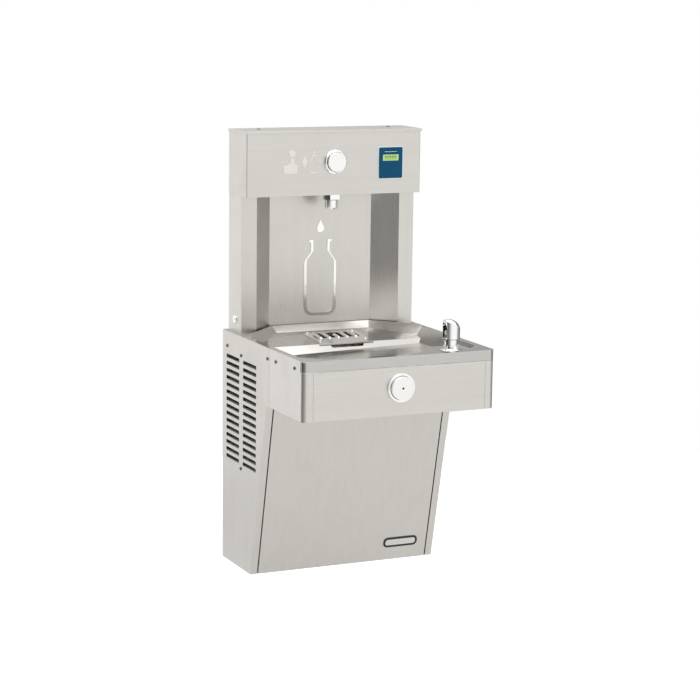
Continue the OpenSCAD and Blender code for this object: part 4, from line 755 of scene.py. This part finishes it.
# Tamper-proof button screw: a domed head with a six-lobed socket and its pin
screwSet = {"head": 4.3, "height": 2.0, "shank": 2.0, "length": 8.0, "tip": 0.4, "tipLength": 0.6,
            "underside": 0.1, "edge": 0.25, "domeRadii": (0.95, 0.8, 0.6), "domeHeights": (0.55, 0.85, 1),
            "socket": 2.1, "lobes": 6, "lobe": 0.28, "rim": 0.25, "rimDepth": 0.2, "floor": 0.5, "pin": 0.55,
            "pinEdge": 0.35, "pinTop": 0.3}


def screwMesh(seat, axis, cfg):
    head, height, shank, socket, pin = cfg["head"], cfg["height"], cfg["shank"], cfg["socket"], cfg["pin"]
    end = -cfg["length"]
    profile = [(0, end), (shank - cfg["tip"], end), (shank, end + cfg["tipLength"]), (shank, 0),
               (head - cfg["underside"], 0), (head, cfg["edge"])]
    profile += [(head * share, height * rise) for share, rise in zip(cfg["domeRadii"], cfg["domeHeights"])]
    lobed = len(profile)
    profile += [(socket + cfg["rim"], height), (socket, height - cfg["rimDepth"]), (socket, cfg["floor"]),
                (pin, cfg["floor"]), (pin, height - cfg["pinEdge"]), (0, height - cfg["pinTop"])]

    def lobes(row, radius, angle):
        return radius + cfg["lobe"] * math.cos(cfg["lobes"] * angle) if lobed <= row <= lobed + 2 else radius

    return lathe(profile, seat, axis, steps=48, radiusAt=lobes)


# The screws that lie lowest hold the front panel from below; the grate's screws lean with the sump's lid
belowZ = 10
grateLean = (0, -11, 120)


def makeScrews(cfg):
    panels, tops, grates = [], [], []
    for low, high in looseBoxes("panel_screws"):
        middle = (low + high) / 2
        if high.z < belowZ:
            panels.append(screwMesh((middle.x, middle.y, 0), down, cfg))
        else:
            side = 1 if middle.x > 0 else -1
            seat = side * (max(abs(low.x), abs(high.x)) - cfg["height"])
            panels.append(screwMesh((seat, middle.y, middle.z), (side, 0, 0), cfg))
    for low, high in looseBoxes("cap_screws"):
        middle = (low + high) / 2
        tops.append(screwMesh((middle.x, middle.y, high.z - cfg["height"]), up, cfg))
    lean = Vector(grateLean).normalized()
    for low, high in looseBoxes("grate_screws"):
        seat = (low + high) / 2 + lean * ((high.z - low.z) / 2 - cfg["height"])
        grates.append(screwMesh(seat, lean, cfg))
    addPiece("panelScrews", joined(panels), "darkScrew", ("panel_screws",))
    addPiece("capScrews", joined(tops), "darkScrew", ("cap_screws",))
    addPiece("grateScrews", joined(grates), "brightScrew", ("grate_screws",))


makeScrews(screwSet)
print("screws made")

# Hood: bent shell with a hole for the fill button's ring
hoodSet = {"half": 219.3, "depth": 110, "low": 866, "high": 1014.8, "sheet": 1.2, "bend": 2.2, "innerBend": 1,
           "edge": 0.25, "hole": 25.6, "cut": 4, "fillZ": 943.04, "relief": 0.5, "sunk": 0.1}


def makeHood(cfg):
    half, depth, sheet, bend, inner = cfg["half"], cfg["depth"], cfg["sheet"], cfg["bend"], cfg["innerBend"]
    outline = rounded2d([(-half, 0), (-half, -depth), (half, -depth), (half, 0), (half - sheet, 0),
                         (half - sheet, -depth + sheet), (-half + sheet, -depth + sheet), (-half + sheet, 0)],
                        [0, bend, bend, 0, 0, inner, inner, 0], steps=5)
    shell = plate([outline], cfg["high"] - cfg["low"], cfg["edge"], (0, 0, cfg["low"]), east, back)
    hole = lathe([(0, -cfg["cut"]), (cfg["hole"], -cfg["cut"]), (cfg["hole"], cfg["cut"]), (0, cfg["cut"])],
                 (0, -depth, cfg["fillZ"]), front)
    addPiece("hoodShell", cutOut(shell, hole), "hood", ("hood_shell",), sharp=25)


makeHood(hoodSet)
dressed("hoodCap", "hood_cap", "hood", bevel=0.5)

# Pictograms: a finger on a button, an arrow and a bottle under a drop. The bottle's points are from its foot.
marksSet = {
    "edge": 0.2,
    "button": (-107, 963.5),
    "buttonRadius": 8,
    "finger": [(-111.5, 953), (-102.5, 953), (-102, 938), (-93, 939), (-94.5, 919), (-99, 917.5),
               (-126, 917.5), (-129.5, 924), (-130, 936), (-120, 936), (-112, 941)],
    "fingerTurns": [4.4, 4.4, 1.5, 4, 4, 3, 4, 4, 4, 5, 2],
    "arrow": (-76.5, 944),
    "arrowHalf": (7.5, 15),
    "arrowTurn": 1.5,
    "bottle": (-53.5, 917.5),
    "bottleSide": [(12, 0), (12, 27), (5, 35), (5, 42)],
    "bottleTurns": [6, 5, 3, 0.8],
    "hollowSide": [(9.8, 2.2), (9.8, 26), (2.8, 34), (2.8, 39.8)],
    "hollowTurns": [4, 4, 2, 0.5],
    "dropRadius": 3.2,
    "dropHeights": (48, 48.5, 56),
    "dropAngles": (200, 341, 10),
}


# The outline and the turns of a mark from those of its right side
def mirrored(place, side, turns):
    x, z = place
    right = [(x + dx, z + dz) for dx, dz in side]
    left = [(x - dx, z + dz) for dx, dz in reversed(side)]
    return rounded2d(left[-1:] + right + left[:-1], turns[:1] + turns + turns[:0:-1])


def makeMarks(cfg, hood):
    x, z = cfg["arrow"]
    across, tall = cfg["arrowHalf"]
    arrow = rounded2d([(x - across, z), (x, z - tall), (x + across, z), (x, z + tall)], cfg["arrowTurn"])
    x, z = cfg["bottle"]
    radius, (middle, shoulder, tip) = cfg["dropRadius"], cfg["dropHeights"]
    belly = arc2d(x, z + middle, radius, anglesOf(*cfg["dropAngles"]))
    drop = [(x - radius, z + shoulder)] + belly + [(x + radius, z + shoulder), (x, z + tip)]
    button = circle2d(*cfg["button"], cfg["buttonRadius"])
    finger = rounded2d(cfg["finger"], cfg["fingerTurns"])
    bottle = mirrored(cfg["bottle"], cfg["bottleSide"], cfg["bottleTurns"])
    hollow = mirrored(cfg["bottle"], cfg["hollowSide"], cfg["hollowTurns"])
    loops = [button, finger, arrow, bottle, hollow, drop]
    sunk = hood["sunk"]
    marks = plate(loops, hood["relief"] + sunk, cfg["edge"], (0, -hood["depth"] + sunk, 0), east, up)
    addPiece("hoodPictograms", marks, "etched")


makeMarks(marksSet, hoodSet)

# Display: blue plate in a white border with a lit window of plain digits. The layers stand before one plane.
displaySet = {
    "x": (110, 174),
    "z": (899.9, 974.9),
    "face": -111,
    "radius": 5,
    "border": {"inset": 1.4, "thick": 0.9, "edge": 0.2, "behind": 1},
    "sheet": {"thick": 0.3, "edge": 0.08, "behind": 0.12, "gap": 0.6},
    "window": {"x": (122.5, 161.5), "z": (942.9, 955.9), "radius": 0.8, "thick": 0.5, "edge": 0.1,
               "behind": 0.35},
    "digits": {"count": 5, "thick": 0.16, "edge": 0.03, "behind": -0.12, "bar": 1.0, "sides": 8, "start": 4.6,
               "foot": 2.6, "space": 2.4},
    "rule": {"inset": 16, "down": (12.2, 11.2), "radius": 0.3, "thick": 0.12, "edge": 0.03, "behind": -0.12},
}
barGapShare = 0.35
barRadius = 0.1


# A zero of six bars: top, foot, and two on each side
def zeroBars(x, z, width, height, bar):
    right, high, half = x + width, z + height, z + height / 2
    places = [(x, right, high - bar, high), (x, right, z, z + bar),
              (x, x + bar, z, half), (x, x + bar, half, high),
              (right - bar, right, z, half), (right - bar, right, half, high)]
    gap = bar * barGapShare
    return [box2d(x0 + gap, x1 - gap, z0 + gap, z1 - gap, barRadius, steps=1) for x0, x1, z0, z1 in places]


def makeDisplay(cfg):
    (x0, x1), (z0, z1), radius = cfg["x"], cfg["z"], cfg["radius"]
    border, sheet, window = cfg["border"], cfg["sheet"], cfg["window"]
    digits, rule = cfg["digits"], cfg["rule"]

    def layer(name, loops, kind, material, replaces=()):
        mesh = plate(loops, kind["thick"], kind["edge"], (0, cfg["face"] + kind["behind"], 0), east, up)
        addPiece(name, mesh, material, replaces)

    layer("displayBorder", [box2d(x0, x1, z0, z1, radius)], border, "displayWhite",
          ("display_panel",))
    (left, right), (low, high), inset, gap = window["x"], window["z"], border["inset"], sheet["gap"]
    blue = [box2d(x0 + inset, x1 - inset, z0 + inset, z1 - inset, radius - inset),
            box2d(left - gap, right + gap, low - gap, high + gap, window["radius"])]
    layer("displaySheet", blue, sheet, "displayBlue")
    layer("displayWindow", [box2d(left, right, low, high, window["radius"])], window, "lcd",
          ("display_lens",))
    pitch = (right - left - digits["sides"]) / digits["count"]
    bars = []
    for k in range(digits["count"]):
        bars += zeroBars(left + digits["start"] + k * pitch, low + digits["foot"], pitch - digits["space"],
                         high - low - 2 * digits["foot"], digits["bar"])
    layer("displayDigits", bars, digits, "ink")
    lower, upper = rule["down"]
    line = box2d(x0 + rule["inset"], x1 - rule["inset"], z1 - lower, z1 - upper, rule["radius"], steps=1)
    layer("displayRule", [line], rule, "displayWhite")


makeDisplay(displaySet)

# Ring around the fill button, and the nozzle with its gasket
ringSet = {
    "at": (0, -hoodSet["depth"], hoodSet["fillZ"]),
    "steps": 96,
    "profile": [(6.3, -12), (6.3, -10), (23.0, -10), (23.0, 6.4), (23.4, 7.4), (24.4, 8), (25.6, 7.9),
                (26.9, 7.2), (27.9, 5.8), (28.4, 4), (28.5, 1.6), (28.5, 0), (25.1, 0), (25.1, -12)],
}
nozzleGasket = {
    "at": (0, -91, 853.4),
    "profile": [(13.0, 0), (16.3, 0), (16.6, 0.5), (16.6, 1.2), (16.3, 1.7), (13.0, 1.7)],
}
dressed("fillButton", "fill_button", "button", bevel=0.6, segments=3)
dressed("nozzleBody", "nozzle", "chrome", bevel=1.0, segments=3)
ring = lathe(ringSet["profile"], ringSet["at"], front, steps=ringSet["steps"], closed=True)
addPiece("fillRingBezel", ring, "chrome", ("fill_ring",))
gasket = lathe(nozzleGasket["profile"], nozzleGasket["at"], up, closed=True)
addPiece("nozzleGasket", gasket, "rubber")
print("hood made")

# Alcove: folded liner with the embossed bottle and drop
alcoveSet = {
    "front": 181.25,
    "frontY": -77.8,
    "back": 130,
    "backY": -31,
    "low": 548,
    "high": 866,
    "sheet": 1.2,
    "edge": 0.2,
    "behindFront": (1.6, 0.6),
    "behindBack": 0.5,
    "bends": (2.5, 3.7),
    "relief": 1.0,
    "reliefEdge": 0.98,
    "outerSide": [(30, 754), (30, 747), (25, 747), (25, 724), (42, 701), (42, 573)],
    "outerTurns": [0.5, 0.5, 1.5, 8, 12, 25],
    "innerSide": [(17, 754), (17, 727), (34, 704), (34, 581)],
    "innerTurns": [0.5, 6, 10, 17],
    "dropZ": 780,
    "dropRadius": 10,
    "dropTip": 801,
    "dropAngles": (-208, 29, 12),
}


def makeAlcove(cfg):
    frontX, frontY, backX, backY = cfg["front"], cfg["frontY"], cfg["back"], cfg["backY"]
    wing, deep = cfg["behindFront"]
    inner, outer = cfg["bends"]
    behindX, behindY = backX + cfg["behindBack"], backY + cfg["sheet"]
    folded = rounded2d([(-frontX, frontY), (-backX, backY), (backX, backY), (frontX, frontY),
                        (frontX + wing, frontY + deep), (behindX, behindY), (-behindX, behindY),
                        (-frontX - wing, frontY + deep)], [0, inner, inner, 0, 0, outer, outer, 0], steps=5)
    liner = plate([folded], cfg["high"] - cfg["low"], cfg["edge"], (0, 0, cfg["low"]), east, back)
    addPiece("alcoveLiner", liner, "tower", ("alcove_liner",), sharp=60)
    outside, inside = cfg["outerSide"], cfg["innerSide"]
    points = [(-x, z) for x, z in outside] + outside[::-1] + inside + [(-x, z) for x, z in inside[::-1]]
    outerTurns, innerTurns = cfg["outerTurns"], cfg["innerTurns"]
    bottle = rounded2d(points, outerTurns + outerTurns[::-1] + innerTurns + innerTurns[::-1])
    drop = arc2d(0, cfg["dropZ"], cfg["dropRadius"], anglesOf(*cfg["dropAngles"])) + [(0, cfg["dropTip"])]
    relief = cfg["relief"]
    raised = plate([bottle, drop], relief * 2, cfg["reliefEdge"], (0, backY + relief, 0), east, up)
    # The raised bottle and drop carry the painted shade, darker toward their foot
    addPiece("alcoveBottle", raised, "polished", sharp=80)


makeAlcove(alcoveSet)
dressed("lockHousing", "lock_housing", "chrome", bevel=0.5)
dressed("lockPlug", "lock_plug", "chrome", bevel=0.3)
print("alcove made")

# Apron: push button; painted shade as a black disc in its pin hole, as darker fine lines beside the corners,
# as black strips in the lip's gaps
apronSet = {
    "face": -473,
    "half": 233.5,
    "line": {"x": 209.5, "z": (417, 522), "half": 0.35, "radius": 0.2, "thick": 0.25, "edge": 0.05,
             "behind": 0.13},
    "joint": {"y": (-460.2, -458.0), "z": (524.5, 545.5), "inset": 1.05, "radius": 0.3, "thick": 1.3,
              "edge": 0.2},
    "pin": {"at": (0, -485.6, 478), "steps": 24,
            "profile": [(0, 0), (1.9, 0), (2.2, 0.2), (2.2, 0.5), (0, 0.5)]},
}


def makeApron(cfg):
    line, joint, pin = cfg["line"], cfg["joint"], cfg["pin"]
    # Thin darker strips beside the front's corners: painted shade of the folds
    lines = [box2d(x - line["half"], x + line["half"], *line["z"], line["radius"], steps=1)
             for x in (-line["x"], line["x"])]
    foldShadeStrips = plate(lines, line["thick"], line["edge"], (0, cfg["face"] + line["behind"], 0), east, up)
    addPiece("apronFoldShadeLines", foldShadeStrips, "lineGrey")
    # Black strips in the gaps where the apron's sides meet the lip: painted shade
    for side, word in ((-1, "Left"), (1, "Right")):
        ends = sorted(side * y for y in joint["y"])
        gap = plate([box2d(*ends, *joint["z"], joint["radius"], steps=1)], joint["thick"], joint["edge"],
                    (side * (cfg["half"] - joint["inset"]), 0, 0), (0, side, 0), up)
        addPiece("lipGapShade" + word, gap, "blackPlastic")
    dressed("pushBezel", "push_bezel", "chrome", bevel=0.8, segments=3)
    dressed("pushButton", "push_button", "button", bevel=0.5, segments=3)
    # A black disc deep in the button's pin hole: painted shade
    addPiece("pushPinHoleShade", lathe(pin["profile"], pin["at"], front, steps=pin["steps"]), "blackPlastic",
             body="push_button")


makeApron(apronSet)

# The lower front leans: its way up, and where its face meets the drawing's floor
frontRise = Vector((0, -92, 415)).normalized()
frontY = -177

# Badge: a bare plate in a black pill ring
badgeSet = {"x": 146, "z": 44, "size": (88, 25), "ring": 5.0, "thick": 1.5, "edge": 0.4, "faceShare": 0.7,
            "faceEdge": 0.2, "overlap": 0.15, "roundGap": 0.05, "steps": 10}


def makeBadge(cfg):
    width, height = cfg["size"]
    foot = cfg["z"] / frontRise.z
    origin = (cfg["x"], frontY, 0)
    ring, thick = cfg["ring"], cfg["thick"]

    def pill(inset):
        across, tall = width / 2 - inset, height / 2 - inset
        return box2d(-across, across, foot - tall, foot + tall, tall - cfg["roundGap"], cfg["steps"])

    addPiece("badgeRing", plate([pill(0), pill(ring)], thick, cfg["edge"], origin, east, frontRise),
             "blackPlastic", ("badge_plate",))
    face = plate([pill(ring - cfg["overlap"])], thick * cfg["faceShare"], cfg["faceEdge"], origin, east,
                 frontRise)
    addPiece("badgeFace", face, "badge")


makeBadge(badgeSet)

# Dark strips behind the slits beside the lower front: painted shade that keeps the slits dark
slitShadeSet = {"x": 214.6, "half": 6, "rise": (6, 420), "y": -170.5, "radius": 1.5, "steps": 2, "thick": 2.0,
           "edge": 0.4}


def makeSlitShades(cfg):
    strips = []
    for x in (-cfg["x"], cfg["x"]):
        strip = box2d(x - cfg["half"], x + cfg["half"], *cfg["rise"], cfg["radius"], cfg["steps"])
        strips.append(plate([strip], cfg["thick"], cfg["edge"], (0, cfg["y"], 0), east, frontRise))
    addPiece("frontSlitShades", joined(strips), "rubber")


makeSlitShades(slitShadeSet)

# Bubbler with the gasket under its flange, and the grate
bubblerGasket = {
    "at": (158, -404, 565.8),
    "profile": [(14.0, 0), (18.6, 0), (19.2, 0.6), (19.2, 1.4), (18.6, 2), (14.0, 2)],
}
dressed("bubblerHood", "bubbler_hood", "chrome", bevel=0.7, segments=3)
gasket = lathe(bubblerGasket["profile"], bubblerGasket["at"], up, closed=True)
addPiece("bubblerGasket", gasket, "blackPlastic")
dressed("bubblerBase", "bubbler_base", "chrome", bevel=0.6, segments=3)
dressed("drainGrate", "drain_grate", "grate", bevel=0.35)
print("front made")

# Floor: its half size is in metres
floorSet = {"z": -290, "half": 2.2, "color": (0.66, 0.66, 0.655), "rough": 0.9, "glow": 0.5}


def makeFloor(cfg):
    mesh = bpy.data.meshes.new("studioFloor")
    half, z = cfg["half"], at(0, 0, cfg["z"]).z
    corners = [(-half, -half, z), (half, -half, z), (half, half, z), (-half, half, z)]
    mesh.from_pydata(corners, [], [(0, 1, 2, 3)])
    floor = bpy.data.objects.new("studioFloor", mesh)
    bpy.context.scene.collection.objects.link(floor)
    made, tree, shader = newMaterial("paleFloor", Roughness=cfg["rough"])
    shader.inputs["Base Color"].default_value = (*cfg["color"], 1)
    shader.inputs["Emission Color"].default_value = (1, 1, 1, 1)
    seen = tree.nodes.new("ShaderNodeLightPath").outputs["Is Camera Ray"]
    tree.links.new(product(tree, seen, cfg["glow"]), shader.inputs["Emission Strength"])
    mesh.materials.append(made)


# World: white for the eye, while metal sees pale walls with darker flags to the left, the right and the
# left front. Stops are degrees around the object and the level seen there.
worldSet = {
    "stops": [(-180, 0.05), (-172, 0.14), (-142, 0.28), (-118, 0.9), (-95, 1.1), (-45, 1.1), (-24, 0.48),
              (0, 0.36), (14, 0.1), (50, 0.12), (62, 0.5), (84, 0.7), (94, 1.16), (134, 1.16), (141, 0.06),
              (180, 0.05)],
    "blueShare": 0.99,
    "highFrom": (0.3, 0.75),
    "lowFrom": (-0.15, -0.45),
    "ceiling": (1.45, 1.45, 1.45),
    "ground": (0.85, 0.85, 0.84),
    "white": (1.0, 1.0, 1.0),
}


def makeWorld(cfg):
    world = bpy.data.worlds.new("studioWorld")
    bpy.context.scene.world = world
    world.use_nodes = True
    tree = world.node_tree
    tree.nodes.clear()
    toward = tree.nodes.new("ShaderNodeTexCoord").outputs["Generated"]
    way = addNode(tree, "ShaderNodeSeparateXYZ", None, {0: toward}).outputs
    turn = mapped(tree, math2(tree, "ARCTAN2", way["Y"], way["X"]), -math.pi, math.pi)
    ramp = addNode(tree, "ShaderNodeValToRGB", None, {"Fac": turn})
    elements = ramp.color_ramp.elements
    for angle, level in cfg["stops"][1:-1]:
        elements.new((angle + 180) / 360)
    for element, (angle, level) in zip(elements, cfg["stops"]):
        element.color = (level, level, level * cfg["blueShare"], 1)
    high = mapped(tree, way["Z"], *cfg["highFrom"], smooth=True)
    low = mapped(tree, way["Z"], *cfg["lowFrom"], smooth=True)
    walls = blended(tree, high, ramp.outputs["Color"], cfg["ceiling"])
    around = blended(tree, low, walls, cfg["ground"])
    seen = tree.nodes.new("ShaderNodeLightPath").outputs["Is Camera Ray"]
    both = blended(tree, seen, around, cfg["white"])
    glow = addNode(tree, "ShaderNodeBackground", {"Strength": 1.0}, {"Color": both})
    tree.links.new(glow.outputs[0], tree.nodes.new("ShaderNodeOutputWorld").inputs["Surface"])


# Lamp: place and target in millimetres, size in metres, power in watts
lampSet = {"place": (-200, -900, 3300), "target": (0, -100, 500), "size": 2.4, "power": 46}


def makeLamp(cfg):
    data = bpy.data.lights.new("overheadBox", "AREA")
    data.size, data.energy = cfg["size"], cfg["power"]
    lamp = bpy.data.objects.new("overheadBox", data)
    lamp.location = at(*cfg["place"])
    lamp.rotation_euler = (at(*cfg["target"]) - at(*cfg["place"])).to_track_quat("-Z", "Y").to_euler()
    bpy.context.scene.collection.objects.link(lamp)


makeFloor(floorSet)
makeWorld(worldSet)
makeLamp(lampSet)
bpy.context.scene.view_settings.view_transform = "Standard"
print("studio made")
